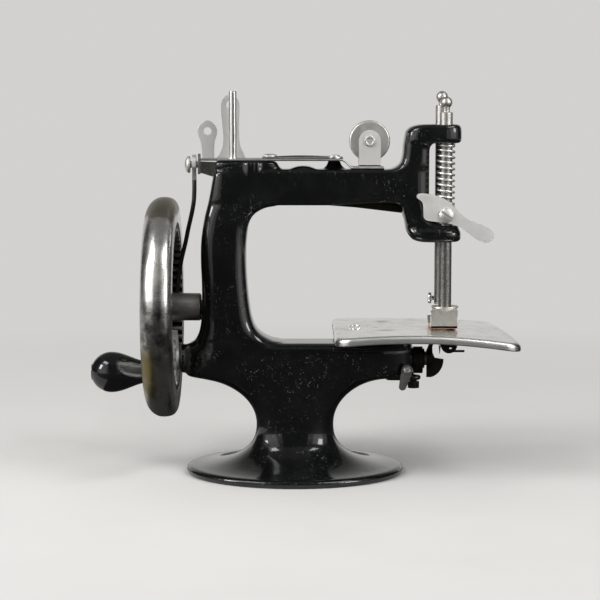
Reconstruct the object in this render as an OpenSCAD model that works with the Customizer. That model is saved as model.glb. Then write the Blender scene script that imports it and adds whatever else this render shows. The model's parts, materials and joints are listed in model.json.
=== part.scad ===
// Hand-cranked chain-stitch sewing machine of the small nineteen-tens kind: one iron casting
// with an oval foot, a geared hand wheel, a rocking needle lever and a rotating looper.
// +X points along the arm to the needle end, -Y to the machine's back, +Z up.
// The origin is the centre of the foot's underside.

/* [Foot and pedestal] */
// Length of the oval foot
foot_length = 94.4; // [86:0.2:104]
// Width of the oval foot
foot_width = 78; // [70:0.2:84]
// Height of the foot's edge
foot_rim = 3.4; // [2.6:0.1:4]
// Width of the pedestal at its waist
waist_width = 33.4; // [30:0.2:38]
// Depth of the pedestal, front to back
pedestal_depth = 25; // [22:0.2:30]

/* [Bed, column and arm] */
// Height of the top of the bed casting
bed_top = 57.3; // [56.6:0.1:58.4]
// How far the bed reaches to the needle end
bed_reach = 50.4; // [48:0.1:51]
// Depth of the bed, front to back
bed_depth = 24.4; // [22:0.2:28]
// Depth of the column, front to back
column_depth = 20.6; // [19:0.2:24]
// Depth of the arm, front to back
arm_depth = 18; // [17:0.2:20]
// Height of the arm's underside
arm_bottom = 116.5; // [115:0.1:118]
// Height of the arm's top
arm_top = 131.9; // [131.6:0.1:133]
// Thickness of the arm's roof over the lever channel
arm_roof = 2.3; // [1.8:0.1:2.6]
// Width of the slot that the needle lever works in
channel_width = 4.6; // [4:0.1:6]

/* [Head] */
// Depth of the head's two lugs
lug_depth = 20.6; // [20.4:0.1:22]
// Depth of the spine between the lugs
spine_depth = 17.8; // [17.4:0.1:18]
// Right-hand end of the lugs
lug_end = 71.3; // [70.6:0.1:74]
// Underside of the lower lug
lower_lug_bottom = 100.7; // [98:0.1:102]
// Top of the lower lug
lower_lug_top = 106.6; // [105.6:0.1:107]
// Underside of the upper lug
upper_lug_bottom = 143.3; // [142.6:0.1:145]
// Top of the upper lug
upper_lug_top = 151; // [150:0.1:153]

/* [Hand wheel and gears] */
// Outer diameter of the hand wheel
wheel_diameter = 95; // [92:0.5:98]
// Width of the wheel's rim
wheel_width = 13.2; // [12:0.1:14]
// Height of the wheel's centre
wheel_z = 72.2; // [71.5:0.1:73]
// Gear module
gear_module = 1.25; // [1.2:0.01:1.26]
// Teeth in the wheel's inner ring
ring_teeth = 54; // [54:3:54]
// Teeth on the pinion
pinion_teeth = 18; // [18:1:18]
// Width of the ring's teeth
ring_width = 4.8; // [4.4:0.1:5]
// Diameter of the wheel's hub
hub_diameter = 12; // [10:0.2:13]
// Diameter of the stud that the wheel turns on
stud_diameter = 6; // [5:0.1:7]
// Distance of the handle from the wheel's centre
handle_throw = 28.5; // [27:0.1:29.5]
// Length of the handle
handle_length = 26; // [24:0.2:30]
// Largest diameter of the handle
handle_diameter = 17.6; // [15:0.2:20]

/* [Shafts and running fits] */
// Diameter of the looper shaft
shaft_diameter = 6; // [5:0.1:6.6]
// Radial clearance of a running fit
fit = 0.05; // [0.02:0.01:0.08]
// Gap between a moving piece and the face that it seats on
seat = 0.3; // [0.2:0.05:0.4]
// Radius of the crank
crank_radius = 5.5; // [5:0.05:5.6]

/* [Needle drive] */
// Thickness of the needle lever
lever_thickness = 1.4; // [1.2:0.1:1.5]
// Height of the lever's pivot
lever_pivot_z = 120.5; // [120:0.1:121]
// Diameter of the needle bar and the presser bar
bar_diameter = 5.5; // [5:0.1:5.6]
// Distance of each bar from the machine's middle plane
bar_offset = 4.4; // [4.4:0.05:5]
// Distance of the needle bar from the origin
needle_bar_x = 63.3; // [63:0.1:64]
// Distance of the presser bar from the origin
presser_bar_x = 64.5; // [64:0.1:65]
// Thickness of the connecting rod's wire
rod_diameter = 1.9; // [1.6:0.1:2.4]
// Thickness of the needle
needle_diameter = 0.9; // [0.8:0.05:1]

/* [Presser] */
// Wire thickness of the presser spring
spring_wire = 0.85; // [0.7:0.05:0.9]
// Outer diameter of the presser spring
spring_diameter = 8.1; // [7.8:0.1:8.2]
// Turns of the presser spring
spring_turns = 11; // [8:1:13]
// Thickness of the presser lifter
lifter_thickness = 1.4; // [1.2:0.1:1.8]

/* [Plates] */
// Left-hand edge of the cloth plate
plate_left = 16.6; // [15:0.1:18]
// Right-hand edge of the cloth plate
plate_right = 94.5; // [88:0.1:98]
// Width of the cloth plate, front to back
plate_width = 76; // [68:0.2:80]
// Height of the cloth plate's top
plate_top = 63.4; // [63.2:0.1:63.6]
// Thickness of the sheet of the cloth plate
plate_sheet = 1; // [0.8:0.1:1.2]
// Depth of the cloth plate's turned-down edge
plate_skirt = 3; // [2.4:0.1:4]
// Drop of the cloth plate's free end
plate_droop = 2.4; // [0:0.1:3]
// Thickness of the sheet of the top plate
cover_sheet = 0.9; // [0.7:0.1:1]
// Width of the top plate
cover_width = 14; // [13:0.2:16]
// Height of the underside of the top plate
cover_z = 135.4; // [135.2:0.1:136]

/* [Spool pin and tension] */
// Diameter of the spool pin
spool_pin_diameter = 3.25; // [3:0.05:3.6]
// Height of the top of the spool pin
spool_pin_top = 165; // [160:0.2:170]
// Diameter of the tension wheel
tension_diameter = 17.5; // [15:0.1:18]
// Height of the tension wheel's centre
tension_z = 143.8; // [143.6:0.1:145]

/* [Hidden] */
$fn = 48;
eps = 0.01;

iron_black = [0.05, 0.05, 0.055];
nickel = [0.75, 0.74, 0.72];
steel = [0.45, 0.45, 0.45];
dark_steel = [0.22, 0.2, 0.18];
wood_black = [0.06, 0.05, 0.05];

// ---- gears ----
ring_pitch = gear_module * ring_teeth / 2;
pinion_pitch = gear_module * pinion_teeth / 2;
shaft_z = wheel_z - (ring_pitch - pinion_pitch);
backlash = 0.14;
addendum = gear_module * 0.9;
dedendum = gear_module * 1.2;

// ---- wheel, along X ----
wheel_right = -50.7;
wheel_left = wheel_right - wheel_width;
web_right = wheel_right - 7.9;
web_left = web_right - 2.8;
column_face = -40.2;
hub_end = column_face - seat;
pinion_right = wheel_right - 0.4;
pinion_left = pinion_right - ring_width + 0.8;
boss_end = pinion_right + 1.3;

// ---- connecting rod ----
crank_z = shaft_z + crank_radius;
tail_x = -43.25;
tail_z = 133.65;
eye_thickness = 1.4;
eye_radius = 3.4;
eye_gap = 1.7;
ear_thickness = 1;
ear_x = tail_x + eye_gap;
cover_left = -40.2;
low_eye_x = pinion_left - 2.1;

// ---- needle lever ----
lever_y = bar_offset - bar_diameter / 2 - lever_thickness - 0.25;
lever_mid = lever_y + lever_thickness / 2;
fork_x = needle_bar_x;
fork_z = 113;
stud_radius = 1.3;
stud_seat = bar_offset - bar_diameter / 2 + 0.3;

bar_radius = bar_diameter / 2;
needle_y = bar_offset;
presser_y = -bar_offset;
collar_bottom = lower_lug_top + 2.2;
collar_top = collar_bottom + 6.6;
lifter_z = lower_lug_top + 5.9;
lifter_back = -spine_depth / 2 - seat;
spine_right = 57.6;
needle_bar_bottom = 73;
needle_tip = 50.6;
clamp_z = needle_bar_bottom + 2.6;
// the needle stands near the far side of its bar, clear of the looper's sweep
needle_line_y = needle_y + bar_radius - needle_diameter / 2 - 0.25;

// ---- plates ----
plate_under = plate_top - plate_sheet;
flat_x = 25;
flat_z = arm_top;
boss_x = 16.8;
pad_screw_x = -10.7;
spool_x = -26.6;
spool_foot = spool_pin_diameter / 2 + 0.6;
guide_y = cover_width / 2 - cover_sheet;
strip_z = cover_z + cover_sheet;
foot_sole = plate_top + seat;
foot_top = foot_sole + 9;
foot_half = 5.9;
foot_screw_z = foot_sole + 4.4;

// ---- tension ----
tension_x = 32;
tension_half = 3.1;
bracket_sheet = 1;
bracket_y = tension_half + seat;

// ---- feed and looper, along X ----
cam_left = bed_reach + 1;
cam_right = cam_left + 3.9;
cam_radius = 5.8;
cam_throw = 0.7;
cam_top = shaft_z + cam_radius + cam_throw;
looper_left = cam_right + 1.8;
looper_half = 0.8;
looper_reach = 7.4;
dog_x = 67.2;
feed_top = plate_under + sag(dog_x + 3) - seat;
hanger_x = 66.3;
hanger_z = 56.3;
spring_x = bed_reach - 2.4;
stitch_x = bed_reach + 1.1;
lug_z = 40.2;
lug_sheet = 2.4;

// A closed ring of points at height z, from x0 to x1 and half_y deep; power 2 is an ellipse.
function signed_root(v, power) = sign(v) * pow(abs(v), 2 / power);
function level_ring(z, x0, x1, half_y, power, count) = [for (i = [0:count - 1])
    let (t = 360 * i / count)
    [(x0 + x1) / 2 + (x1 - x0) / 2 * signed_root(cos(t), power),
     half_y * signed_root(sin(t), power), z]];

// Skin over a list of rings of equal length, closed by a flat cap at each end.
module skin(rings) {
    count = len(rings[0]);
    last = len(rings) - 1;
    polyhedron(
        points = [for (ring = rings) each ring],
        faces = concat(
            [[for (i = [0:count - 1]) i]],
            [for (k = [0:last - 1], i = [0:count - 1]) let (j = (i + 1) % count)
                each [[k * count + i, (k + 1) * count + i, (k + 1) * count + j],
                      [k * count + i, (k + 1) * count + j, k * count + j]]],
            [[for (i = [count - 1:-1:0]) last * count + i]]));
}

// Round wire swept along a list of points.
function unit(v) = v / norm(v);
module wire(path, radius, sides = 8) {
    last = len(path) - 1;
    skin([for (k = [0:last])
        let (along = unit(path[min(k + 1, last)] - path[max(k - 1, 0)]),
             across = unit(cross(along, [0.02, 1, 0.01])),
             up = cross(along, across))
        [for (i = [0:sides - 1]) let (t = 360 * i / sides)
            path[k] + radius * (cos(t) * across + sin(t) * up)]]);
}

// Cylinder along X, and along Y, from one place to another.
module rod_x(x0, x1, y, z, r) {
    translate([x0, y, z]) rotate([0, 90, 0]) cylinder(h = x1 - x0, r = r);
}
module rod_y(x, y0, y1, z, r) {
    translate([x, y1, z]) rotate([90, 0, 0]) cylinder(h = y1 - y0, r = r);
}
// Outline drawn in X and Z, given a thickness from y0 to y1.
module plate_xz(y0, y1) {
    translate([0, y1, 0]) rotate([90, 0, 0]) linear_extrude(height = y1 - y0) children();
}
// Profile of radius and X, turned about an axis along X.
module turned_x(y, z) {
    translate([0, y, z]) rotate([0, 90, 0]) rotate_extrude($fn = 96) children();
}

// ---- the casting ----
bed_half = bed_depth / 2;
ped_half = pedestal_depth / 2;
waist = waist_width / 2;

// Stations of the foot, pedestal, bed, column and arm: [z, left, right, half depth, power].
function casting_stations() =
    let (l = foot_length / 2, w = foot_width / 2, c = column_depth / 2, a = arm_depth / 2)
    concat(
        // rounded edge of the foot, then its dome
        [[0, -l + 0.8, l - 0.8, w - 0.8, 2], [0.7, -l, l, w, 2],
         [foot_rim - 1, -l, l, w, 2], [foot_rim - 0.3, -l + 0.6, l - 0.6, w - 0.6, 2],
         [foot_rim, -l + 1.8, l - 1.8, w - 1.8, 2]],
        [for (s = [0.1:0.1:1]) let (f = pow(1 - s, 2.4), z = foot_rim + 18 * pow(s, 1.55))
            [z, -waist - (l - 1.8 - waist) * f, waist + (l - 1.8 - waist) * f,
             ped_half + (w - 1.8 - ped_half) * f, 2 + 0.6 * s]],
        // pedestal spreading into the bed
        [for (s = [0.14:0.14:1]) let (f = 1 - sqrt(1 - s * s), z = foot_rim + 18 + 20.4 * s)
            [z, -waist - 29 * f, waist + 26 * f, ped_half - 0.3 * s, 2.6 + s]],
        [[42.6, -46.4, bed_reach - 2.6, bed_half - 0.6, 4],
         [43.8, -47.4, bed_reach - 0.6, bed_half, 4.5],
         [46, -47.4, bed_reach, bed_half, 5],
         [bed_top - 3.2, -47.2, bed_reach, bed_half, 5],
         [bed_top - 1.8, -46.4, bed_reach, bed_half - 0.5, 5],
         [bed_top - 0.8, -45.4, bed_reach - 0.2, bed_half - 1.5, 5],
         [bed_top - 0.2, -44.4, bed_reach - 0.6, bed_half - 2.9, 5],
         [bed_top, -44, bed_reach - 1, bed_half - 4.2, 5]],
        // column
        [[bed_top + 0.2, -43.6, -7.4, c + 0.4, 4], [bed_top + 1.2, -43, -10.6, c + 0.8, 4],
         [bed_top + 3.6, -41.7, -14.3, c + 0.5, 4], [bed_top + 6.4, -40.8, -16.8, c + 0.2, 4],
         [bed_top + 10.5, -40.3, -18.4, c, 4], [bed_top + 17.5, -40.1, -19.6, c, 4],
         [84.5, -40.1, -20.5, c - 0.2, 4], [91, -40.6, -20.8, c - 0.4, 4],
         [98, -40.8, -20.8, c - 0.6, 4], [103.5, -40.3, -20.4, c - 0.8, 4],
         [108.7, -39.3, -19.6, c - 1, 4], [111.9, -38.6, -17.9, c - 1.1, 4],
         [arm_bottom - 2.6, -38, -15.4, a + 0.1, 4], [arm_bottom - 1, -37.5, -11.6, a, 4],
         [arm_bottom - 0.2, -37.4, -7.4, a - 0.4, 4]],
        // arm, with the pad that the top plate is screwed to
        [[arm_bottom, -37.3, 48, a - 0.9, 5], [arm_bottom + 0.7, -37.2, 50, a, 6],
         [arm_top - 7, -35.6, 50, a, 6], [arm_top - 1.6, -34.7, 50, a - 0.1, 6],
         [arm_top - 0.6, -34.6, 49, a - 0.6, 6], [arm_top - 0.05, -34.5, 48, a - 1.5, 6],
         [arm_top, -34.5, -6, a - 1.2, 6], [cover_z - 0.5, -34.5, -7.6, a - 1, 6],
         [cover_z, -34.3, -8.4, a - 1.4, 6]]);

// Stations of the head: lower lug, spine and upper lug.
function head_stations() = let (h = lug_depth / 2, d = spine_depth / 2, s = spine_right,
                               b = lower_lug_bottom, t = lower_lug_top,
                               u = upper_lug_bottom, v = upper_lug_top)
    [[b, 53.4, lug_end - 1.2, h - 1.6, 3.4], [b + 0.8, 50.6, lug_end - 0.2, h - 0.4, 3.6],
     [b + 2.2, 49.2, lug_end, h, 3.8], [t - 1.2, 47.9, lug_end, h, 3.8],
     [t - 0.3, 47.6, lug_end - 0.4, h - 0.3, 3.8], [t, 47.4, lug_end - 1.2, h - 0.8, 3.8],
     [t + 0.2, 47.3, s + 1.2, d, 4], [t + 1.6, 47, s + 0.2, d - 0.1, 4],
     [t + 3.4, 46.7, s, d - 0.1, 4], [112.6, 46.2, s, d - 0.1, 4], [115.2, 44.6, s, d, 4],
     [117.5, 41, s, d, 4], [arm_top - 1, 38.6, s, d, 4],
     [arm_top + 0.6, 42.4, s, d, 4], [134.3, 44.9, s, d, 4],
     [139.3, 46.6, s, d, 4], [u - 1.4, 47, s + 0.2, d, 4],
     [u - 0.2, 47.1, s + 1.2, d, 4], [u, 47.1, lug_end - 1, h - 0.8, 3.8],
     [u + 0.7, 47.2, lug_end, h, 3.8], [v - 2.6, 47.8, lug_end, h, 3.8],
     [v - 1.2, 49.2, lug_end - 0.2, h - 0.3, 3.8], [v - 0.4, 51.2, lug_end - 0.7, h - 0.9, 3.8],
     [v, 54, lug_end - 1.7, h - 2, 3.8]];

module casting_skin(stations, count) {
    skin([for (s = stations) level_ring(s[0], s[1], s[2], s[3], s[4], count)]);
}

// Slot for the needle lever: open below the arm, at the column's back and under the top plate.
module lever_slot() {
    y = lever_mid - channel_width / 2;
    roof = arm_top - arm_roof;
    plate_xz(y, y + channel_width) polygon([[-52, 115.5], [-18, 114.5], [44, 111.5],
        [spine_right + 2, 109.3], [spine_right + 2, 136.4], [46, 132.6], [36, roof + 0.3],
        [-17, roof], [-17, 140], [-52, 140]]);
}

module frame() {
    color(iron_black) difference() {
        union() {
            casting_skin(casting_stations(), 40);
            casting_skin(head_stations(), 32);
            rod_x(boss_end, -30, 0, shaft_z, 6.3);
            translate([boss_x, 0, arm_top - 1])
                cylinder(h = cover_z - arm_top + 1, r1 = 3.6, r2 = 2.7);
            // low swell in the middle of the arm's top
            intersection() {
                rod_y(3.5, -arm_depth / 2 + 2, arm_depth / 2 - 2, arm_top + 1.4 - 12, 12);
                translate([-5, -arm_depth / 2, arm_top - 1]) cube([17, arm_depth, 4]);
            }
            for (x = [-16.3, -19.6]) translate([x, 1.6 - arm_depth / 2, arm_top - 4.4])
                cylinder(h = cover_z - arm_top + 4.2, r = 1.7);
            // lug under the bed's end for the stitch screw
            translate([stitch_x - 12, -3.4, lug_z]) cube([12, 6.8, lug_sheet]);
            translate([stitch_x, 0, lug_z]) cylinder(h = lug_sheet, r = 3.4);
            // seat of the cloth plate
            translate([19, -9, bed_top - 1])
                cube([bed_reach - 21.4, 18, plate_under - bed_top + 1]);
        }
        lever_slot();
        rod_x(-60, bed_reach + 5, 0, shaft_z, shaft_diameter / 2 + fit);
        rod_x(-60, -28, 0, wheel_z, stud_diameter / 2);
        rod_y(0, 2 - arm_depth / 2, 20, lever_pivot_z, 1.5);
        for (b = [[needle_bar_x, needle_y], [presser_bar_x, presser_y]])
            translate([b[0], b[1], 90]) cylinder(h = 70, r = bar_radius + fit);
        for (x = [pad_screw_x, boss_x, tension_x])
            translate([x, 0, arm_top - 1.2]) cylinder(h = 8, r = 1.1);
        for (y = [-6, 6]) translate([26, y, 50]) cylinder(h = 20, r = 1.2);
        // hollow of the foot's underside, round the pedestal's core
        translate([0, 0, -1]) linear_extrude(height = 2.6) difference() {
            polygon(oval(foot_length / 2 - 6, foot_width / 2 - 6));
            polygon(oval(waist + 3, ped_half + 4));
        }
        rod_y(spring_x, -20, -6, shaft_z - 3.4, 0.9);
        translate([stitch_x, 0, lug_z - 1]) cylinder(h = 4, r = 1.5);
    }
}
function oval(a, b) = [for (i = [0:47]) [a * cos(7.5 * i), b * sin(7.5 * i)]];

// ---- hand wheel and its gear train ----
// Outline of a gear: trapezoid teeth, each as wide at the pitch circle as given.
function gear_outline(teeth, tip, pitch, root, half_width) = [for (i = [0:teeth - 1])
    let (t = 360 * i / teeth, slope = 0.42)
    each [for (p = [[root, -1], [tip, -1], [tip, 1], [root, 1]])
        let (half = half_width - slope * (p[0] - pitch), a = asin(max(half, 0.3) / p[0]))
        [p[0] * cos(t + p[1] * a), p[0] * sin(t + p[1] * a)]]];

// Half of the rim's section as [radius, X]: flat right face, barrel edge, rounded left face.
function rim_profile() = let (r = wheel_diameter / 2, x0 = wheel_left, x1 = wheel_right)
    concat([[ring_pitch + dedendum + 1, x1]],
        [[r - 3, x1], [r - 1.6, x1 - 0.8], [r - 0.6, x1 - 2.4], [r - 0.1, x1 - 4.4]],
        [for (t = [0:12:90]) [r - 8 + 8 * cos(t), x1 - 6 - (wheel_width - 6) * sin(t)]],
        [[36.5, x0 + 0.4], [35, web_left - 0.3], [33, web_left]]);

module hand_wheel() {
    color(nickel) difference() {
        union() {
            turned_x(0, wheel_z) polygon(concat(rim_profile(),
                [[10, web_left], [9, web_left - 1.2], [0, web_left - 1.2], [0, hub_end],
                 [hub_diameter / 2, hub_end], [hub_diameter / 2, web_right - 1],
                 [hub_diameter / 2 + 3, web_right], [31, web_right],
                 [ring_pitch + dedendum + 1, web_right + 2]]));
            translate([wheel_right - ring_width - 0.2, 0, wheel_z]) rotate([0, 90, 0])
                linear_extrude(height = ring_width) difference() {
                    circle(r = ring_pitch + dedendum + 1.6, $fn = 96);
                    polygon(gear_outline(ring_teeth, ring_pitch + dedendum, ring_pitch,
                        ring_pitch - addendum, PI * gear_module / 4 + backlash / 2));
                }
            rod_x(web_left - 1, web_left + 1, 0, wheel_z - handle_throw, 6);
        }
        rod_x(-80, -30, 0, wheel_z, stud_diameter / 2 + fit);
        rod_x(-80, -50, 0, wheel_z - handle_throw, 1.7);
    }
}

// Screw head along X facing left: a dome or a flat disc with a slot.
module slotted_head_x(x, y, z, r, h, slot_angle = 0) {
    difference() {
        rod_x(x - h, x, y, z, r);
        translate([x - h, y, z]) rotate([slot_angle, 0, 0]) cube([0.9, 3 * r, 0.7], center = true);
    }
}

module wheel_stud() {
    color(steel) rod_x(web_left - 1.4, -28, 0, wheel_z, stud_diameter / 2);
}

module wheel_screw() {
    face = web_left - 1.4;
    color(nickel) slotted_head_x(face, 0, wheel_z, stud_diameter / 2 + 2.2, 2, 35);
}

handle_right = web_left - 1 - seat;
handle_left = handle_right - handle_length;
module crank_handle() {
    r = handle_diameter / 2;
    span = handle_length;
    color(wood_black) difference() {
        turned_x(0, wheel_z - handle_throw) polygon(concat(
            [[1.75, handle_left + 2.2], [3.6, handle_left + 2.2], [3.6, handle_left + 0.3]],
            [for (t = [22:9:90]) [r * sin(t), handle_left + 9 - 9 * cos(t)]],
            [for (s = [0.1:0.1:1]) [r - (r - 4.5) * (0.5 - 0.5 * cos(180 * s)),
                handle_left + 9 + (span - 9) * s]],
            [[1.75, handle_right]]));
    }
}

module handle_screw() {
    head = handle_left + 2.2 - seat;
    z = wheel_z - handle_throw;
    color(steel) union() {
        rod_x(head - eps, web_right - 0.2, 0, z, 1.7);
        slotted_head_x(head, 0, z, 3.2, 1.5, 20);
    }
}

module pinion() {
    root = pinion_pitch - dedendum;
    color(dark_steel) difference() {
        union() {
            translate([pinion_left, 0, shaft_z]) rotate([0, 90, 0])
                linear_extrude(height = pinion_right - pinion_left)
                    polygon(gear_outline(pinion_teeth, pinion_pitch + addendum, pinion_pitch,
                        root, PI * gear_module / 4 - backlash / 2));
            rod_x(pinion_right - 0.5, boss_end - seat, 0, shaft_z, shaft_diameter / 2 + 2);
        }
        rod_x(-80, 0, 0, shaft_z, shaft_diameter / 2);
        rod_x(pinion_left - 1, pinion_left + 2.4, 0, crank_z, 1.2);
    }
}

module looper_shaft() {
    color(steel) difference() {
        rod_x(pinion_left, looper_left + 2.2, 0, shaft_z, shaft_diameter / 2);
        rod_x(pinion_left - 1, pinion_left + 4, 0, shaft_z, 1);
        looper_screw_shape();
    }
}

module crank_pin() {
    color(steel) union() {
        rod_x(pinion_left, pinion_left + 2.4, 0, crank_z, 1.2);
        rod_x(low_eye_x + eye_thickness / 2 + seat, pinion_left, 0, crank_z, 1.6);
    }
}

module pinion_screw() {
    color(steel) union() {
        rod_x(pinion_left - eps, pinion_left + 4, 0, shaft_z, 1);
        slotted_head_x(pinion_left, 0, shaft_z, 2.4, 0.8, 60);
    }
}

// ---- needle drive ----
// Route of the connecting rod: down beside the column, round the hub and back to the crank.
rod_route = [[tail_x, lever_mid, tail_z - 2.6], [tail_x, lever_mid, 127], [-43.3, 1.2, 122.5],
    [-43.6, 2.2, 118], [-44.3, 3.6, 114], [-45.3, 5.4, 109.8], [-46.4, 7.4, 105.5],
    [-47.4, 9.4, 101], [-48.4, 11.2, 97], [-49.7, 13, 92], [-50.7, 14.1, 87],
    [-51.4, 14.6, 82], [-52.1, 14.8, 78], [-53.1, 14.7, 74.5], [-54.6, 14.5, 71.5], [-56.2, 13.8, 68],
    [-56.9, 12, 65], [low_eye_x, 9, 62], [low_eye_x, 5.6, 59.6], [low_eye_x, 2.4, crank_z + 1.4]];

module rod_eye(x, y, z, bore) {
    difference() {
        rod_x(x - eye_thickness / 2, x + eye_thickness / 2, y, z, eye_radius);
        rod_x(x - 3, x + 3, y, z, bore);
    }
}

module connecting_rod() {
    color(dark_steel) union() {
        wire(rod_route, rod_diameter / 2);
        rod_eye(tail_x, lever_mid, tail_z, 2);
        rod_eye(low_eye_x, 0, crank_z, 1.65);
    }
}

module rod_screw() {
    face = tail_x - eye_gap;
    color(nickel) union() {
        rod_x(face - eps, ear_x + ear_thickness, lever_mid, tail_z, 1.4);
        turned_x(lever_mid, tail_z) polygon(concat([[0, face], [3.65, face]],
            [for (t = [0:15:90]) [3.65 * cos(t), face - 0.5 - 1.9 * sin(t)]]));
    }
}

// Rocking lever: a bent steel plate with an ear at the tail and a fork at the needle bar.
module needle_lever() {
    half = 2.2;
    slot = stud_radius + 0.25;
    fork_end = fork_x + 3.2;
    slope = (fork_z - lever_pivot_z) / fork_x;
    function mid(x) = lever_pivot_z + slope * x;
    color(steel) difference() {
        union() {
            plate_xz(lever_y, lever_y + lever_thickness) polygon([
                [ear_x, 130.4], [ear_x, 135], [-34, 134.7], [-24, 131.4], [-14, 127.6],
                [-4, 124.8], [4, 124.2], [12, mid(12) + half + 0.6], [26, mid(26) + half],
                [46, mid(46) + half], [57, mid(57) + 3.4], [fork_end, mid(57) + 2.9],
                [fork_end, fork_z + slot], [fork_x - 3, fork_z + slot],
                [fork_x - 3, fork_z - slot], [fork_end, fork_z - slot],
                [fork_end, mid(64) - 3.2], [57, mid(57) - 3.2], [46, mid(46) - half],
                [26, mid(26) - half], [12, mid(12) - half - 0.6], [4, 116.4], [-4, 116.6],
                [-12, 119.4], [-24, 124.2], [-34.5, 128.2]]);
            // ear bent across the tail, for the connecting rod's screw
            union() {
                rod_x(ear_x, ear_x + ear_thickness, lever_mid, tail_z + 1.8, 4);
                translate([ear_x, lever_mid - 4, tail_z - 4]) cube([ear_thickness, 8, 6]);
            }
            rod_y(0, lever_y - 0.9, lever_y + lever_thickness + 0.9, lever_pivot_z, 4);
        }
        rod_y(0, -20, 20, lever_pivot_z, 1.5 + fit);
        rod_x(ear_x - 1, ear_x + 2, lever_mid, tail_z, 1.4);
    }
}

module lever_pivot_screw() {
    face = arm_depth / 2;
    color(steel) difference() {
        union() {
            rod_y(0, 2 - face, face + eps, lever_pivot_z, 1.5);
            rod_y(0, face, face + 1.6, lever_pivot_z, 3.2);
        }
        translate([0, face + 1.6, lever_pivot_z]) rotate([0, 30, 0]) cube([8, 1.4, 0.8], center = true);
    }
}

// Bar with a turned neck and a ball on its top end, standing at x, y.
module ball_topped_bar(x, y, bottom, shoulder, ball_z) {
    ball = bar_radius - 0.25;
    translate([x, y, 0]) rotate_extrude() polygon(concat(
        [[0, bottom], [bar_radius - 0.4, bottom], [bar_radius, bottom + 0.4],
         [bar_radius, shoulder - 0.5], [bar_radius - 0.5, shoulder], [1.3, shoulder]],
        [for (t = [-55:14.5:90]) [max(ball * cos(t), 0), ball_z + ball * sin(t)]]));
}

module needle_bar() {
    ball_z = spool_pin_top - bar_radius + 0.25;
    color(nickel) difference() {
        ball_topped_bar(needle_bar_x, needle_y, needle_bar_bottom, ball_z - 3.6, ball_z);
        translate([needle_bar_x, needle_line_y, needle_bar_bottom - 1])
            cylinder(h = 9, r = needle_diameter / 2);
        rod_y(needle_bar_x, 0, needle_y - 0.5, fork_z, 1);
        rod_y(needle_bar_x, 0, stud_seat, fork_z, stud_radius);
        rod_x(needle_bar_x - 6, needle_bar_x - bar_radius + 0.4, needle_y, clamp_z, 0.9);
    }
}

module needle_bar_stud() {
    color(steel) union() {
        rod_y(needle_bar_x, lever_y - 0.15, stud_seat, fork_z, stud_radius);
        rod_y(needle_bar_x, lever_y, needle_y - 0.5, fork_z, 1);
    }
}

module needle() {
    r = needle_diameter / 2;
    color(nickel) difference() {
        translate([needle_bar_x, needle_line_y, 0]) rotate_extrude($fn = 24) polygon([
            [0, needle_tip], [0.12, needle_tip + 0.2], [r, needle_tip + 3.4],
            [r, needle_bar_bottom + 8], [0, needle_bar_bottom + 8]]);
        // eye
        translate([needle_bar_x - 0.16, needle_line_y - 1, needle_tip + 3.6]) cube([0.32, 2, 1.1]);
    }
}

module needle_clamp_screw() {
    left = needle_bar_x - bar_radius - 1.1;
    color(steel) union() {
        rod_x(left, needle_bar_x - bar_radius + 0.4, needle_y, clamp_z, 0.9);
        rod_x(left - 1.7, left, needle_y, clamp_z, 2.4);
    }
}

// ---- presser ----
module presser_bar() {
    color(nickel) difference() {
        ball_topped_bar(presser_bar_x, presser_y, foot_sole + 2.4, 156, 160.2);
        rod_y(presser_bar_x, -12, presser_y, lifter_z, 1.2);
        rod_x(presser_bar_x - 6, presser_bar_x - bar_radius + 0.4, presser_y, foot_screw_z, 1);
    }
}

module presser_spring() {
    steps = 16;
    r = (spring_diameter - spring_wire) / 2;
    bottom = collar_top + spring_wire / 2 + 0.05;
    top = upper_lug_bottom - spring_wire / 2 - 0.05;
    turns = spring_turns + 2;
    // dead turns at both ends, live turns between them
    function height(t) = let (a = bottom + spring_wire, b = top - spring_wire)
        t < 1 ? bottom + spring_wire * t
        : t > turns - 1 ? b + spring_wire * (t - turns + 1)
        : a + (b - a) * (t - 1) / (turns - 2);
    color(steel) wire([for (i = [0:steps * turns]) let (t = i / steps)
        [presser_bar_x + r * cos(360 * t), presser_y + r * sin(360 * t), height(t)]],
        spring_wire / 2, 6);
}

module presser_collar() {
    color(steel) difference() {
        union() {
            translate([presser_bar_x, presser_y, collar_bottom])
                cylinder(h = collar_top - collar_bottom, r = spring_diameter / 2 - 0.1);
            rod_y(presser_bar_x, lifter_back + seat, presser_y, lifter_z, 2.6);
        }
        translate([presser_bar_x, presser_y, 90]) cylinder(h = 50, r = bar_radius);
        rod_y(presser_bar_x, -20, presser_y, lifter_z, 1.2);
    }
}

// Lifter: thin plate with a hooked nose, cam edges at two distances and a paddle to the right.
lifter_front = lifter_back - lifter_thickness;
module lifter_lever() {
    x = presser_bar_x;
    z = lifter_z;
    corner = 2.4;
    color(nickel) difference() {
        plate_xz(lifter_front, lifter_back) union() {
            polygon(concat(
                [for (t = [188:12:262]) [x - 7.7 + corner * cos(t), z + 0.7 + corner * sin(t)]],
                [[x + 3.4, z - 4.6], [x + 6.6, z - 6.1], [x + 9.4, z - 8.5], [x + 12.3, z - 10.4]],
                [for (t = [-118:20:62]) [x + 16.9 + 3.5 * cos(t), z - 8.6 + 3 * sin(t)]],
                [[x + 13.9, z - 3.6], [x + 9, z - 1.7], [x + 5.6, z + 1.2], [x + 2.6, z + 4.4],
                 [x - 1, z + 7], [x - 5.4, z + 8.6], [x - 10.2, z + 9.3]],
                [for (t = [90:24:210]) [x - 11.5 + 1.2 * cos(t), z + 8 + 1.2 * sin(t)]],
                [[x - 10.3, z + 5.4]]));
        }
        rod_y(x, -30, 0, z, 1.6 + fit);
    }
}

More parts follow.
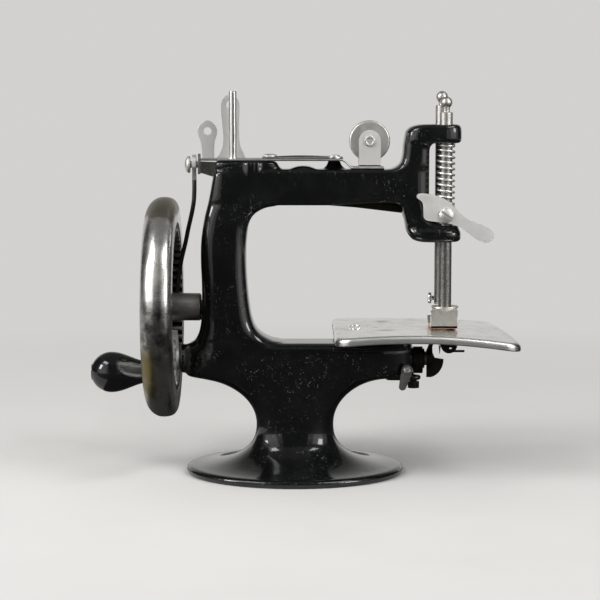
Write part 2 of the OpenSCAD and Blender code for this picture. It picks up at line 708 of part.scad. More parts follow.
module lifter_screw() {
    head = lifter_front - seat;
    color(nickel) difference() {
        union() {
            rod_y(presser_bar_x, head - eps, lifter_back + seat, lifter_z, 1.6);
            rod_y(presser_bar_x, lifter_back + seat - eps, presser_y, lifter_z, 1.2);
            translate([presser_bar_x, head, lifter_z]) rotate([90, 0, 0]) rotate_extrude()
                polygon(concat([[0, 0], [3.15, 0], [3.15, 0.5]],
                    [for (t = [15:15:90]) [3.15 * cos(t), 0.5 + 1.3 * sin(t)]]));
        }
        translate([presser_bar_x, head - 1.7, lifter_z]) rotate([0, 37, 0])
            cube([8, 1.6, 0.8], center = true);
    }
}

module presser_foot() {
    x = presser_bar_x - 0.5;
    front = presser_y - bar_radius - 1.7;
    color(nickel) difference() {
        union() {
            translate([presser_bar_x, presser_y, foot_sole + 0.6])
                cylinder(h = foot_top - foot_sole - 0.6, r = bar_radius + 1.2);
            // front plate and sole, bent from one sheet
            translate([x - foot_half, front, foot_sole])
                cube([2 * foot_half, 1.1, foot_top - foot_sole - 0.4]);
            translate([x - foot_half, front, foot_sole]) cube([2 * foot_half, 16.5, 1.1]);
            translate([x - foot_half, front + 13.5, foot_sole + 0.3]) rotate([28, 0, 0])
                cube([2 * foot_half, 5.4, 1.1]);
            translate([presser_bar_x, presser_y, foot_top - 0.9])
                cylinder(h = 0.9, r1 = bar_radius + 1.6, r2 = bar_radius + 3);
        }
        translate([presser_bar_x, presser_y, foot_sole + 2.4]) cylinder(h = 30, r = bar_radius);
        translate([needle_bar_x, needle_y, 50]) cylinder(h = 40, r = bar_radius + 0.7);
        rod_x(x - 20, presser_bar_x, presser_y, foot_screw_z, 1);
    }
}

module presser_foot_screw() {
    left = presser_bar_x - bar_radius - 2.7;
    color(steel) union() {
        rod_x(left, presser_bar_x - bar_radius + 0.4, presser_y, foot_screw_z, 1);
        slotted_head_x(left, presser_y, foot_screw_z, 2, 1.5, 15);
    }
}

// ---- top plate, thread guides and spool pin ----
// Sheet whose underside follows the points in X and Z.
module sheet_along(points) {
    polygon(concat(points, [for (i = [len(points) - 1:-1:0]) points[i] + [0, cover_sheet]]));
}

module top_plate() {
    half = cover_width / 2;
    bend = [for (s = [0:0.125:1]) [19.8 + 5.2 * s,
        cover_z - (cover_z - flat_z) * (0.5 - 0.5 * cos(180 * s))]];
    color(nickel) difference() {
        union() {
            plate_xz(-half, half) sheet_along(concat([[cover_left, cover_z]], bend,
                [[38, flat_z]]));
            plate_xz(guide_y, half) union() {
                // short guide
                translate([cover_left, cover_z]) square([5.4, 9.6]);
                translate([-37.8, 147.9]) circle(r = 4.1);
                polygon([[-41.6, 149.4], [-40.2, 151.4], [-37.8, 152.6], [-35.4, 151.4], [-34, 149.4]]);
                // tall guide on a flared root
                polygon(concat([[-34.7, cover_z], [-34.7, cover_z + cover_sheet]],
                    [for (t = [0:15:90]) [-34.7 + 3.9 * sin(t), 140.9 - 4.4 * cos(t)]],
                    [[-31.8, 159], [-24, 159]],
                    [for (t = [90:-15:0]) [-21 - 3.4 * sin(t), 142.1 - 5.6 * cos(t)]],
                    [[-21, cover_z]]));
                translate([-27.9, 159.4]) circle(r = 4);
            }
        }
        rod_y(-37.8, 0, 20, 147.9, 1.65);
        rod_y(-27.9, 0, 20, 159.3, 1.7);
        for (x = [pad_screw_x, boss_x, tension_x])
            translate([x, 0, 120]) cylinder(h = 30, r = 1.1);
        translate([spool_x, 0, 130]) cylinder(h = 10, r = spool_foot);
    }
}

module top_strip() {
    color(nickel) difference() {
        union() {
            translate([-14, -3.2, strip_z]) cube([30, 6.4, 0.7]);
            translate([16, 0, strip_z]) cylinder(h = 0.7, r = 3.8);
        }
        for (x = [pad_screw_x, boss_x]) translate([x, 0, 120]) cylinder(h = 30, r = 1.1);
    }
}

module top_plate_screws() {
    head = strip_z + 0.7;
    color(nickel) for (screw = [[pad_screw_x, 3, 1.2, 70], [boss_x, 2.4, 0.7, 30]]) difference() {
        translate([screw[0], 0, 0]) union() {
            translate([0, 0, arm_top - 1]) cylinder(h = head - arm_top + 1.2, r = 1.1);
            translate([0, 0, head]) cylinder(h = screw[2], r1 = screw[1], r2 = screw[1] - 0.4);
        }
        translate([screw[0], 0, head + screw[2]]) rotate([0, 0, screw[3]])
            cube([8, 0.6, 0.8], center = true);
    }
}

module spool_pin() {
    r = spool_pin_diameter / 2;
    color(steel) difference() {
        translate([spool_x, 0, cover_z]) union() {
            cylinder(h = spool_pin_top - cover_z - 0.5, r = r);
            // riveted foot, a little proud of the plate
            cylinder(h = cover_sheet + 0.35, r = spool_foot);
            translate([0, 0, spool_pin_top - cover_z - 0.5]) cylinder(h = 0.5, r1 = r, r2 = r - 0.4);
        }
        for (z = [[138.4, 141], [142.2, spool_pin_top - 0.8]])
            translate([spool_x - 0.35, -5, z[0]]) cube([0.7, 10, z[1] - z[0]]);
    }
}

// ---- thread tension ----
module tension_bracket() {
    half = 4.65;
    base = flat_z + cover_sheet;
    color(nickel) difference() {
        union() {
            for (y = [-bracket_y - bracket_sheet, bracket_y]) plate_xz(y, y + bracket_sheet) union() {
                translate([tension_x - half, base]) square([2 * half, tension_z - base]);
                translate([tension_x, tension_z]) circle(r = half);
            }
            translate([tension_x - half, -bracket_y - bracket_sheet, base])
                cube([2 * half, 2 * (bracket_y + bracket_sheet), bracket_sheet]);
        }
        rod_y(tension_x, -20, 20, tension_z, 1.5);
        translate([tension_x, 0, 120]) cylinder(h = 30, r = 1.1);
    }
}

module tension_wheel() {
    r = tension_diameter / 2;
    h = tension_half;
    color(steel) translate([tension_x, 0, tension_z]) rotate([90, 0, 0]) rotate_extrude($fn = 72)
        polygon([[1.5 + fit, -h], [4, -h], [r - 1, -h + 0.3], [r, -h + 0.8], [r - 0.2, -h + 1.3],
            [r - 3.2, -0.35], [r - 3.2, 0.35], [r - 0.2, h - 1.3], [r, h - 0.8], [r - 1, h - 0.3],
            [4, h], [1.5 + fit, h]]);
}

module tension_pin() {
    out = bracket_y + bracket_sheet;
    color(nickel) union() {
        rod_y(tension_x, -out - 0.9, out + 0.9, tension_z, 1.5);
        rod_y(tension_x, -out - 0.7, -out, tension_z, 2.3);
        rod_y(tension_x, out, out + 0.7, tension_z, 2.3);
    }
}

module tension_screw() {
    base = flat_z + cover_sheet + bracket_sheet;
    color(nickel) difference() {
        union() {
            translate([tension_x, 0, base]) cylinder(h = 0.9, r = 2.2);
            translate([tension_x, 0, flat_z - 1]) cylinder(h = base - flat_z + 1.5, r = 1.1);
        }
        translate([tension_x, 0, base + 0.9]) cube([6, 0.6, 0.8], center = true);
    }
}

// ---- cloth plate ----
// Height of the plate above its level part, at x: its free end droops along an arc.
function sag(x) = x < 48 ? 0 : -plate_droop * pow((x - 48) / (plate_right - 48), 2);
plate_steps = [for (s = [0:1 / 16:1]) 48 + (plate_right - 48) * s];
module plate_band(low, high) {
    plate_xz(-plate_width / 2, plate_width / 2) polygon(concat(
        [[plate_left, high]], [for (x = plate_steps) [x, high + sag(x)]],
        [for (i = [16:-1:0]) [plate_steps[i], low + sag(plate_steps[i])]], [[plate_left, low]]));
}
module plate_plan(inset) {
    r = 7 - inset;
    half = plate_width / 2;
    translate([0, 0, 50]) linear_extrude(height = 20) polygon([for (c = [[1, 1], [-1, 1],
        [-1, -1], [1, -1]], t = [0:15:90]) let (a = t + (c[0] > 0 ? (c[1] > 0 ? 0 : 270)
            : (c[1] > 0 ? 90 : 180)))
        [(c[0] > 0 ? plate_right - inset - r : plate_left + inset + r) + r * cos(a),
         c[1] * (half - inset - r) + r * sin(a)]]);
}

module cloth_plate() {
    color(nickel) difference() {
        intersection() {
            plate_plan(0);
            plate_band(plate_top - plate_skirt, plate_top);
        }
        intersection() {
            plate_plan(plate_sheet);
            plate_band(plate_top - plate_skirt - 1, plate_under);
        }
        translate([needle_bar_x, needle_line_y, 50]) cylinder(h = 20, r = 1.1);
        // window for the feed dog
        translate([dog_x - 1.9, -5.4, 50]) cube([3.8, 7.6, 20]);
        for (y = [-6, 6]) translate([26, y, 50]) cylinder(h = 20, r = 1.2);
    }
}

module cloth_plate_screws() {
    color(nickel) for (y = [-6, 6]) difference() {
        translate([26, y, plate_top - 7]) union() {
            cylinder(h = 7, r = 1.2);
            translate([0, 0, 7]) cylinder(h = 0.45, r1 = 2.5, r2 = 2.2);
        }
        translate([26, y, plate_top + 0.4]) rotate([0, 0, 20]) cube([7, 0.6, 0.6], center = true);
    }
}

// ---- feed ----
module feed_cam() {
    color(dark_steel) difference() {
        union() {
            rod_x(cam_left, cam_right, 0, shaft_z - cam_throw, cam_radius);
            rod_x(cam_right - eps, cam_right + 0.8, 0, shaft_z, 4.2);
        }
        rod_x(0, 80, 0, shaft_z, shaft_diameter / 2);
    }
}

// Bar that slides front to back under the plate, with a half-round hanger at its end.
module feed_bar() {
    bottom = feed_top - 2.2;
    color(dark_steel) union() {
        translate([cam_left - 0.2, -7.2, bottom]) cube([dog_x + 3 - cam_left, 5.4, 2.2]);
        // follower over the cam
        translate([cam_left + 0.6, -4.2, cam_top + seat]) cube([2.4, 4.2, bottom - cam_top]);
        // hanger: a tab with a half-round end and a thread pin
        translate([hanger_x - 2, -7.2, hanger_z - 1]) cube([4, 1.6, bottom - hanger_z + 1.5]);
        difference() {
            intersection() {
                rod_y(hanger_x, -7.2, -5.6, hanger_z, 3.5);
                translate([hanger_x - 4, -8, hanger_z - 4]) cube([8, 4, 4.4]);
            }
            rod_y(hanger_x + 0.7, -8, -5, hanger_z - 1.2, 0.6);
        }
        rod_x(hanger_x + 1.6, hanger_x + 6.7, -6.4, hanger_z - 2.6, 0.5);
    }
}

module feed_dog() {
    teeth = plate_top + sag(dog_x) - 0.2;
    color(steel) translate([dog_x - 1.5, -4.2, 0]) union() {
        translate([0, 0, feed_top]) cube([3, 5.4, teeth - feed_top]);
        for (i = [0:5]) translate([0, 0.1 + 0.88 * i, teeth - eps])
            rotate([90, 0, 90]) linear_extrude(height = 3) polygon([[0, 0], [0.8, 0], [0.7, 0.6]]);
    }
}

module feed_spring() {
    // flat spring on the near side of the bed's end, with a rounded finger end
    y = -bed_depth / 2 - 0.9;
    color(steel) difference() {
        plate_xz(y, y + 0.8) union() {
            translate([spring_x, shaft_z - 3.4]) circle(r = 2.4);
            polygon([[spring_x - 2.4, shaft_z - 3.3], [spring_x - 3.8, 39.4],
                [spring_x - 0.1, 39.2], [spring_x + 2.1, shaft_z - 4.6]]);
            translate([spring_x - 1.95, 39.3]) circle(r = 1.85);
        }
        rod_y(spring_x, -30, 0, shaft_z - 3.4, 0.9);
    }
}

module feed_spring_screw() {
    y = -bed_depth / 2 - 0.9;
    color(nickel) union() {
        rod_y(spring_x, y - 1.1, y, shaft_z - 3.4, 1.6);
        rod_y(spring_x, y - eps, y + 5, shaft_z - 3.4, 0.9);
    }
}

// Thumbscrew in the lug under the bed's end.
module stitch_screw() {
    color(steel) translate([stitch_x, 0, lug_z]) union() {
        translate([0, 0, -0.8]) cylinder(h = lug_sheet + 0.6, r = 1.5 - fit);
        difference() {
            translate([0, 0, -3.4]) cylinder(h = 2.8, r = 2.5);
            for (i = [0:11]) rotate([0, 0, 30 * i]) translate([2.6, 0, -4])
                cylinder(h = 4, r = 0.35, $fn = 16);
        }
    }
}

// ---- looper ----
module looper() {
    z = shaft_z;
    x = looper_left;
    color(dark_steel) difference() {
        union() {
            rod_x(x, x + 2.2, 0, z, shaft_diameter / 2 + 1);
            plate_xz(-looper_half, looper_half) polygon(concat(
                [[x, z - 8.2]],
                [for (t = [-80:13:0]) [x + (looper_reach - 0.6) * cos(t) + 0.6, z - 0.4 + 8 * sin(t)]],
                [[x + 3.6, z + 0.2], [x + 2.6, z + 2.6], [x + 2.5, z + 5], [x + 3.2, z + 7.2],
                 [x + 4.2, z + 9], [x + 2.8, z + 8.8], [x + 1.4, z + 7], [x + 0.3, z + 4.4],
                 [x - 0.2, z + 1.6], [x, z - 1]]));
        }
        rod_x(0, x + 2.2, 0, z, shaft_diameter / 2);
        looper_screw_shape();
    }
}

module looper_screw_shape() {
    translate([looper_left + 1.1, 0, shaft_z + shaft_diameter / 2 - 1]) cylinder(h = 2.4, r = 0.8);
}
module looper_screw() {
    color(steel) looper_screw_shape();
}

frame();
wheel_stud();
hand_wheel();
wheel_screw();
crank_handle();
handle_screw();
pinion();
looper_shaft();
crank_pin();
pinion_screw();
connecting_rod();
rod_screw();
needle_lever();
lever_pivot_screw();
needle_bar();
needle_bar_stud();
needle();
needle_clamp_screw();
presser_bar();
presser_spring();
presser_collar();
presser_foot();
presser_foot_screw();
lifter_lever();
lifter_screw();
top_plate();
top_strip();
top_plate_screws();
spool_pin();
tension_bracket();
tension_wheel();
tension_pin();
tension_screw();
cloth_plate();
cloth_plate_screws();
feed_bar();
feed_dog();
feed_cam();
feed_spring();
feed_spring_screw();
stitch_screw();
looper();
looper_screw();
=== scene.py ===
import json
from math import asin, copysign, cos, dist, pi, radians, sin, sqrt

import bmesh
import bpy
from mathutils import Matrix, Vector, geometry


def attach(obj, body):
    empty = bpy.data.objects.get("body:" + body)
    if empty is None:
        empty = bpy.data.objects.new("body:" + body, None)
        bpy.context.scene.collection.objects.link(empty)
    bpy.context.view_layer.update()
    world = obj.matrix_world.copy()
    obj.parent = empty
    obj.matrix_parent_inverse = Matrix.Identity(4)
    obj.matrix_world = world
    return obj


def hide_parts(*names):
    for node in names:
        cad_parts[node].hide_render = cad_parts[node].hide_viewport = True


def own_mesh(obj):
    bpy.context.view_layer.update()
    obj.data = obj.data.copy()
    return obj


# Hand-cranked sewing machine: smooth pieces, worn finishes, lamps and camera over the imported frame.
# The machine's sizes are in mm in the part's frame; new_mesh() and mesh_of() turn them into metres.

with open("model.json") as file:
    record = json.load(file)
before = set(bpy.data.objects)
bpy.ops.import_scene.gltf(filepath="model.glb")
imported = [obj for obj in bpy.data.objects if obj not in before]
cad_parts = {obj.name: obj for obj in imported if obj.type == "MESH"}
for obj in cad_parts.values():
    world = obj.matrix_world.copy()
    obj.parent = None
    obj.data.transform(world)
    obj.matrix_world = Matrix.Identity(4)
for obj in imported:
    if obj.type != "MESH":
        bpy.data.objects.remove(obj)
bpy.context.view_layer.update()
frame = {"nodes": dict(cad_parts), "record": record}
MM = 0.001
WHEEL_Z = 72.2
EVEN = Vector((1, 1, 1))


# ---- materials ----
class Nodes:
    """Builds shader nodes in one tree."""

    def __init__(self, tree):
        self.tree = tree

    def link(self, value, socket):
        """Links an output to a socket, or sets the socket to a number or colour."""
        if isinstance(value, bpy.types.NodeSocket):
            self.tree.links.new(value, socket)
        else:
            socket.default_value = value

    def node(self, kind, inputs, operation=None, data_type=None):
        """New node, with its inputs linked or set."""
        made = self.tree.nodes.new(kind)
        if operation:
            made.operation = operation
        if data_type:
            made.data_type = data_type
        for name, value in inputs.items():
            self.link(value, made.inputs[name])
        return made

    def math(self, operation, *values):
        return self.node("ShaderNodeMath", dict(enumerate(values)), operation).outputs[0]

    def times(self, first, *others):
        """Product of values."""
        return self.math("MULTIPLY", first, self.times(*others)) if others else first

    def sum(self, *parts):
        """Adds (value, weight) pairs."""
        total = 0
        for value, weight in parts:
            total = self.math("ADD", self.math("MULTIPLY", value, weight), total)
        return total

    def ramp(self, value, low, high, start=0, end=1):
        """Value from start to end as value goes from low to high."""
        return self.node("ShaderNodeMapRange", {"Value": value, "From Min": low, "From Max": high,
                                                "To Min": start, "To Max": end}).outputs[0]

    def mix(self, share, one, two, data_type="FLOAT"):
        """One where share is 0, two where it is 1."""
        return self.node("ShaderNodeMix", {"Factor": share, "A": one, "B": two},
                         data_type=data_type).outputs["Result"]

    def seen_directly(self):
        """1 for rays that show a background: camera, glossy and transmission rays."""
        rays = self.node("ShaderNodeLightPath", {}).outputs
        shown = self.math("MAXIMUM", rays["Is Camera Ray"], rays["Is Glossy Ray"])
        return self.math("MAXIMUM", shown, rays["Is Transmission Ray"])


class Finish(Nodes):
    """Builds one procedural material. Its pattern follows the piece's own coordinates, in mm."""

    def __init__(self, name, colour, metallic, roughness):
        self.material = bpy.data.materials.new(name)
        self.material.use_nodes = True
        super().__init__(self.material.node_tree)
        self.shader = self.tree.nodes["Principled BSDF"]
        self.shader.inputs["Metallic"].default_value = metallic
        self.colour, self.roughness = (*colour, 1), roughness
        coords = self.node("ShaderNodeTexCoord", {})
        self.place = self.scaled(coords.outputs["Object"], 1 / MM)
        self.x, self.y, self.z = self.node("ShaderNodeSeparateXYZ", {0: self.place}).outputs

    def vector(self, operation, *values):
        return self.node("ShaderNodeVectorMath", dict(enumerate(values)), operation).outputs[0]

    def scaled(self, value, factor):
        return self.node("ShaderNodeVectorMath", {0: value, "Scale": factor}, "SCALE").outputs[0]

    def length(self, value):
        return self.node("ShaderNodeVectorMath", {0: value}, "LENGTH").outputs["Value"]

    def texture(self, kind, place, size, **inputs):
        """Texture node whose features are about size mm across."""
        return self.node(kind, {"Vector": self.vector("DIVIDE", place, size), "Scale": 1, **inputs})

    def noise(self, size, detail=3, roughness=0.5, stretch=(1, 1, 1)):
        """Noise, with features that are longer along the stretched axes."""
        return self.texture("ShaderNodeTexNoise", self.place, Vector(stretch) * size, Detail=detail,
                            Roughness=roughness).outputs["Fac"]

    def from_wheel_axis(self):
        """Distance from the wheel's axis, mm."""
        rise = self.math("SUBTRACT", self.z, WHEEL_Z)
        return self.math("SQRT", self.sum((self.times(rise, rise), 1), (self.times(self.y, self.y), 1)))

    def specks(self, spacing, radius, share, within=None):
        """1 in ragged spots of about radius mm, in that share of cells spacing mm apart."""
        wander = self.texture("ShaderNodeTexNoise", self.place, EVEN * radius * 2.5)
        ragged = self.vector("ADD", self.place, self.scaled(wander.outputs["Color"], radius * 1.6))
        cells = self.texture("ShaderNodeTexVoronoi", ragged, EVEN * spacing)
        chance, scale, _ = self.node("ShaderNodeSeparateColor", {0: cells.outputs["Color"]}).outputs
        size = self.ramp(scale, 0, 1, 0.4 * radius / spacing, radius / spacing)
        spots = self.times(self.math("LESS_THAN", cells.outputs["Distance"], size),
                           self.math("LESS_THAN", chance, share))
        return spots if within is None else self.times(spots, within)

    def tint(self, colour, share):
        """Lays a colour over the piece where share is 1."""
        self.colour = self.mix(share, self.colour, (*colour, 1), "RGBA")

    def gloss(self, roughness, share):
        """Changes the roughness where share is 1."""
        self.roughness = self.mix(share, self.roughness, roughness)

    def finish(self, height=None, depth=0):
        """Links what was built. Height, if given, is raised by depth mm as a bump."""
        self.link(self.colour, self.shader.inputs["Base Color"])
        self.link(self.roughness, self.shader.inputs["Roughness"])
        if height is not None:
            bump = self.node("ShaderNodeBump", {"Distance": depth * MM, "Strength": 1, "Height": height})
            self.link(bump.outputs["Normal"], self.shader.inputs["Normal"])
        return self.material


def japan():
    """Glossy black baked enamel on cast iron, dulled in patches, with chips and dust."""
    f = Finish("japan_black", (0.003, 0.0033, 0.0034), 0, 0.24)
    f.shader.inputs["Specular IOR Level"].default_value = 0.14
    f.shader.inputs["Coat Weight"].default_value = 0.85
    f.shader.inputs["Coat Roughness"].default_value = 0.07
    clusters = f.ramp(f.noise(12, 5, 0.66), 0.45, 0.6)
    dust = f.specks(0.75, 0.135, 0.42, clusters)
    grains = f.specks(1.5, 0.13, 0.5)
    chips = f.specks(4.6, 0.42, 0.2, clusters)
    f.tint((0.007, 0.0076, 0.0078), f.ramp(f.noise(9, 5, 0.65), 0.45, 0.8))
    smears = f.times(f.ramp(f.noise(1.6, 5, 0.7, (1, 1, 2.2)), 0.6, 0.72), clusters)
    f.tint((0.055, 0.055, 0.053), smears)
    f.tint((0.07, 0.07, 0.068), grains)
    f.tint((0.34, 0.34, 0.33), dust)
    f.tint((0.2, 0.195, 0.185), chips)
    f.gloss(0.26, f.ramp(f.noise(13, 5, 0.6), 0.45, 0.75))
    f.gloss(0.55, chips)
    return f.finish(f.sum((f.noise(9, 2), 1), (f.noise(2.6, 3, 0.6), 0.14), (f.noise(0.9, 3), 0.03),
                          (chips, -0.04)), 0.2)


def worn_nickel():
    """Nickel of the wheel: bright above, cloudy and brassy where the hand rubbed it, rougher at the top and
    painted darker there as a reflection.
    """
    f = Finish("worn_nickel", (0.7, 0.69, 0.66), 1, 0.24)
    wear, patches = f.noise(14, 6, 0.66), f.noise(5, 6, 0.68)
    ragged = f.sum((f.z, 1), (wear, 16), (patches, 7))
    # the worn bands are on the rim's near side only
    handled = f.times(f.ramp(f.y, 4, -16), f.ramp(f.from_wheel_axis(), 37, 40))
    # share of the rim's top, which is rougher and takes a painted dark reflection
    top = f.ramp(ragged, 122.5, 124.5)
    f.tint((0.62, 0.61, 0.58), f.ramp(patches, 0.5, 0.7, 0, 0.7))
    cloud = f.times(f.ramp(ragged, 93, 87), handled, f.ramp(ragged, 60, 66))
    f.tint((0.1, 0.097, 0.09), f.times(cloud, f.ramp(patches, 0.4, 0.6, 0.5, 0.97)))
    low = f.times(f.ramp(ragged, 72, 66), handled, f.ramp(ragged, 46, 52))
    streak = f.ramp(f.sum((f.x, 1), (patches, 3)), -55.6, -57.2)
    f.tint((0.2, 0.19, 0.165), f.times(low, 0.75))
    f.tint((0.17, 0.135, 0.05), f.times(low, streak, f.ramp(wear, 0.3, 0.5, 0.4, 0.95)))
    # painted reflection: the rim's top is tinted dark olive, as if it mirrored a dark ceiling
    f.tint((0.19, 0.18, 0.13), f.times(top, 0.9))
    f.tint((0.42, 0.41, 0.39), f.ramp(ragged, 54, 48, 0, 0.7))
    pits = f.specks(0.8, 0.2, 0.5, f.ramp(patches, 0.42, 0.58))
    f.tint((0.1, 0.095, 0.09), pits)
    inside = f.times(f.ramp(f.from_wheel_axis(), 36.7, 36.3), f.ramp(f.x, -60.6, -60.2))
    f.tint((0.03, 0.028, 0.022), inside)
    f.gloss(0.5, inside)
    f.gloss(0.46, f.math("MAXIMUM", top, low))
    f.gloss(0.36, f.ramp(wear, 0.42, 0.66))
    f.gloss(0.5, pits)
    return f.finish(f.sum((f.noise(3, 4, 0.6), 0.5), (f.noise(0.7, 3, 0.6), 0.16), (pits, -0.12)), 0.06)


def cover_nickel():
    """Dull nickel sheet on the arm, with a painted highlight along its near edges."""
    f = Finish("cover_nickel", (0.36, 0.355, 0.34), 1, 0.4)
    f.tint((0.24, 0.235, 0.22), f.ramp(f.noise(6, 5, 0.62, (2, 1, 1)), 0.5, 0.75))
    # painted highlight: the near edges of the sheet and of the strip on it are made bright, as rounded edges
    # that catch the lamps
    strip = f.times(f.ramp(f.y, -2.7, -3), f.ramp(f.z, 136.5, 136.7))
    edge = f.math("MAXIMUM", f.ramp(f.y, -7, -7.2), strip)
    f.tint((0.88, 0.87, 0.85), f.times(edge, f.ramp(f.noise(2, 4), 0.3, 0.5, 0.6, 1)))
    f.gloss(0.3, edge)
    return f.finish(f.sum((f.noise(0.6, 3, 0.6, (6, 1, 1)), 0.4), (f.noise(5, 2), 0.8)), 0.02)


def gear_teeth():
    """Bright worn tooth tips with old grease in the gaps between them; the teeth below the wheel's axis are
    painted lighter, as a painted reflection.
    """
    f = Finish("gear_teeth", (0.62, 0.61, 0.58), 1, 0.3)
    # painted reflection: the teeth below the axis are made lighter
    lower = f.ramp(f.z, 74, 62)
    f.tint((0.85, 0.84, 0.8), lower)
    f.gloss(0.5, lower)
    grease = f.ramp(f.sum((f.from_wheel_axis(), 1), (f.noise(1.5, 3), 0.9)), 34, 34.7)
    f.tint((0.03, 0.027, 0.022), grease)
    f.gloss(0.55, grease)
    return f.finish(f.noise(0.8, 3), 0.04)


def worn_bar():
    """Nickelled bar, rubbed to dark pitted steel below the lower lug."""
    f = Finish("worn_bar", (0.52, 0.505, 0.475), 1, 0.44)
    rubbed = f.ramp(f.sum((f.z, 1), (f.noise(3, 4), 6)), 107, 103)
    f.tint((0.15, 0.145, 0.135), f.times(rubbed, f.ramp(f.noise(0.8, 5, 0.7), 0.36, 0.56, 0.55, 1)))
    f.gloss(0.42, rubbed)
    shaded = f.times(f.ramp(f.z, 106, 108), f.ramp(f.z, 144, 142))
    f.tint((0.24, 0.235, 0.225), f.times(shaded, 0.9))
    f.tint((0.25, 0.24, 0.22), f.ramp(f.noise(2.2, 5, 0.65), 0.52, 0.7, 0, 0.3))
    return f.finish(f.sum((f.noise(0.7, 4, 0.7), 0.5), (f.noise(4, 2), 0.4)), 0.005)


def foot_nickel():
    """Satin nickel of the presser foot, worn through to copper at its lower edge."""
    f = Finish("foot_nickel", (0.7, 0.68, 0.63), 1, 0.42)
    f.tint((0.42, 0.4, 0.36), f.ramp(f.noise(3, 5, 0.6), 0.5, 0.75, 0, 0.6))
    f.tint((0.7, 0.4, 0.25), f.ramp(f.sum((f.z, 1), (f.noise(2, 3), 1.1)), 65.4, 64.9, 0, 0.85))
    return f.finish(f.sum((f.noise(1.2, 4), 0.4), (f.noise(5, 2), 0.5)), 0.03)


def lever_steel():
    """Grey lever whose long end has kept its dark olive skin."""
    f = Finish("lever_steel", (0.34, 0.33, 0.31), 1, 0.36)
    f.tint((0.16, 0.155, 0.14), f.ramp(f.noise(3, 5, 0.6), 0.48, 0.7))
    olive = f.ramp(f.sum((f.x, 1), (f.noise(5, 3), 8)), -18, -12)
    f.tint((0.026, 0.025, 0.017), olive)
    f.gloss(0.5, olive)
    return f.finish(f.noise(0.8, 4), 0.03)


def plate_nickel():
    """Bright rolled nickel sheet with fine scratches, a few smudges and a little brown at its free end."""
    f = Finish("plate_nickel", (0.9, 0.895, 0.875), 1, 0.2)
    f.tint((0.72, 0.71, 0.68), f.ramp(f.noise(11, 5, 0.6, (1.8, 1, 1)), 0.48, 0.75, 0, 0.8))
    f.tint((0.42, 0.36, 0.27), f.ramp(f.sum((f.x, 1), (f.noise(8, 3), 14)), 95, 106, 0, 0.45))
    smudges = f.ramp(f.noise(4, 4, 0.62, (2.2, 1, 1)), 0.68, 0.74)
    f.tint((0.16, 0.15, 0.135), f.times(smudges, 0.85))
    for x, y, wide, deep in ((39, 21, 4.5, 6), (39.3, -12, 4.5, 3.5), (35, -1, 2, 2)):
        far = f.length(f.vector("DIVIDE", f.vector("SUBTRACT", f.place, Vector((x, y, 63.4))),
                                Vector((wide, deep, 20))))
        spot = f.ramp(f.sum((far, 1), (f.noise(2.5, 5, 0.7), 2.2)), 2.2, 1.5)
        f.tint((0.3, 0.29, 0.27), f.times(spot, 0.85))
    f.gloss(0.34, f.ramp(f.noise(6, 5, 0.6), 0.44, 0.72))
    f.gloss(0.36, f.ramp(f.y, -36.3, -37))
    scratches = f.noise(0.35, 3, 0.6, (14, 0.7, 1))
    f.gloss(0.3, f.ramp(scratches, 0.6, 0.66, 0, 0.8))
    return f.finish(f.sum((scratches, 0.12), (f.noise(9, 2), 1.2), (f.noise(2.5, 3), 0.12)), 0.03)


def plain_nickel(name, colour, roughness, wear, grain=(1, 1, 1), bump=0.012):
    """Nickelled steel with faint grain, cloudy wear and a few spots."""
    f = Finish(name, colour, 1, roughness)
    cloudy, dark = (tuple(share * c for c in colour) for share in (0.66, 0.35))
    f.tint(cloudy, f.ramp(f.noise(7, 5, 0.6), 0.5, 0.78, 0, wear))
    spots = f.specks(2.6, 0.18, 0.2)
    f.tint(dark, spots)
    f.gloss(min(roughness + 0.16, 0.6), f.ramp(f.noise(4, 5, 0.6), 0.42, 0.75))
    height = f.sum((f.noise(0.5, 3, 0.6, grain), 0.4), (f.noise(5, 2), 0.9), (spots, -0.3))
    return f.finish(height, bump)


def oxidised_steel(name, colour, stain):
    """Dark steel with brown stains and a dull skin."""
    f = Finish(name, colour, 0.85, 0.4)
    f.tint(stain, f.ramp(f.noise(3.2, 5, 0.65), 0.48, 0.72, 0, 0.8))
    f.tint(tuple(2.4 * c for c in colour), f.ramp(f.noise(1.3, 4), 0.58, 0.75, 0, 0.6))
    f.gloss(0.62, f.ramp(f.noise(2.2, 4), 0.45, 0.7))
    return f.finish(f.sum((f.noise(0.8, 4), 0.5), (f.noise(3, 3), 0.5)), 0.05)


def black_handle():
    """Thick glossy black paint on turned wood, with rubbed spots."""
    f = Finish("black_paint", (0.005, 0.005, 0.0058), 0, 0.1)
    f.tint((0.05, 0.045, 0.04), f.specks(3.1, 0.22, 0.25))
    f.gloss(0.3, f.ramp(f.noise(6, 4, 0.6), 0.5, 0.75))
    return f.finish(f.sum((f.noise(5, 2), 1), (f.noise(0.9, 2), 0.03)), 0.09)


SATIN = plain_nickel("satin_nickel", (0.66, 0.65, 0.625), 0.5, 0.15, bump=0.006)
GUIDE = plain_nickel("guide_nickel", (0.7, 0.69, 0.67), 0.54, 0.15, (5, 5, 0.8), 0.008)
STEEL = plain_nickel("grey_steel", (0.34, 0.33, 0.315), 0.36, 0.5, (0.5, 4, 4))
HUB = plain_nickel("turned_steel", (0.42, 0.4, 0.375), 0.34, 0.5, (0.4, 6, 6), 0.02)
DARK = oxidised_steel("dark_steel", (0.018, 0.0175, 0.015), (0.022, 0.016, 0.01))
TEETH, PLATE, COVER = gear_teeth(), plate_nickel(), cover_nickel()
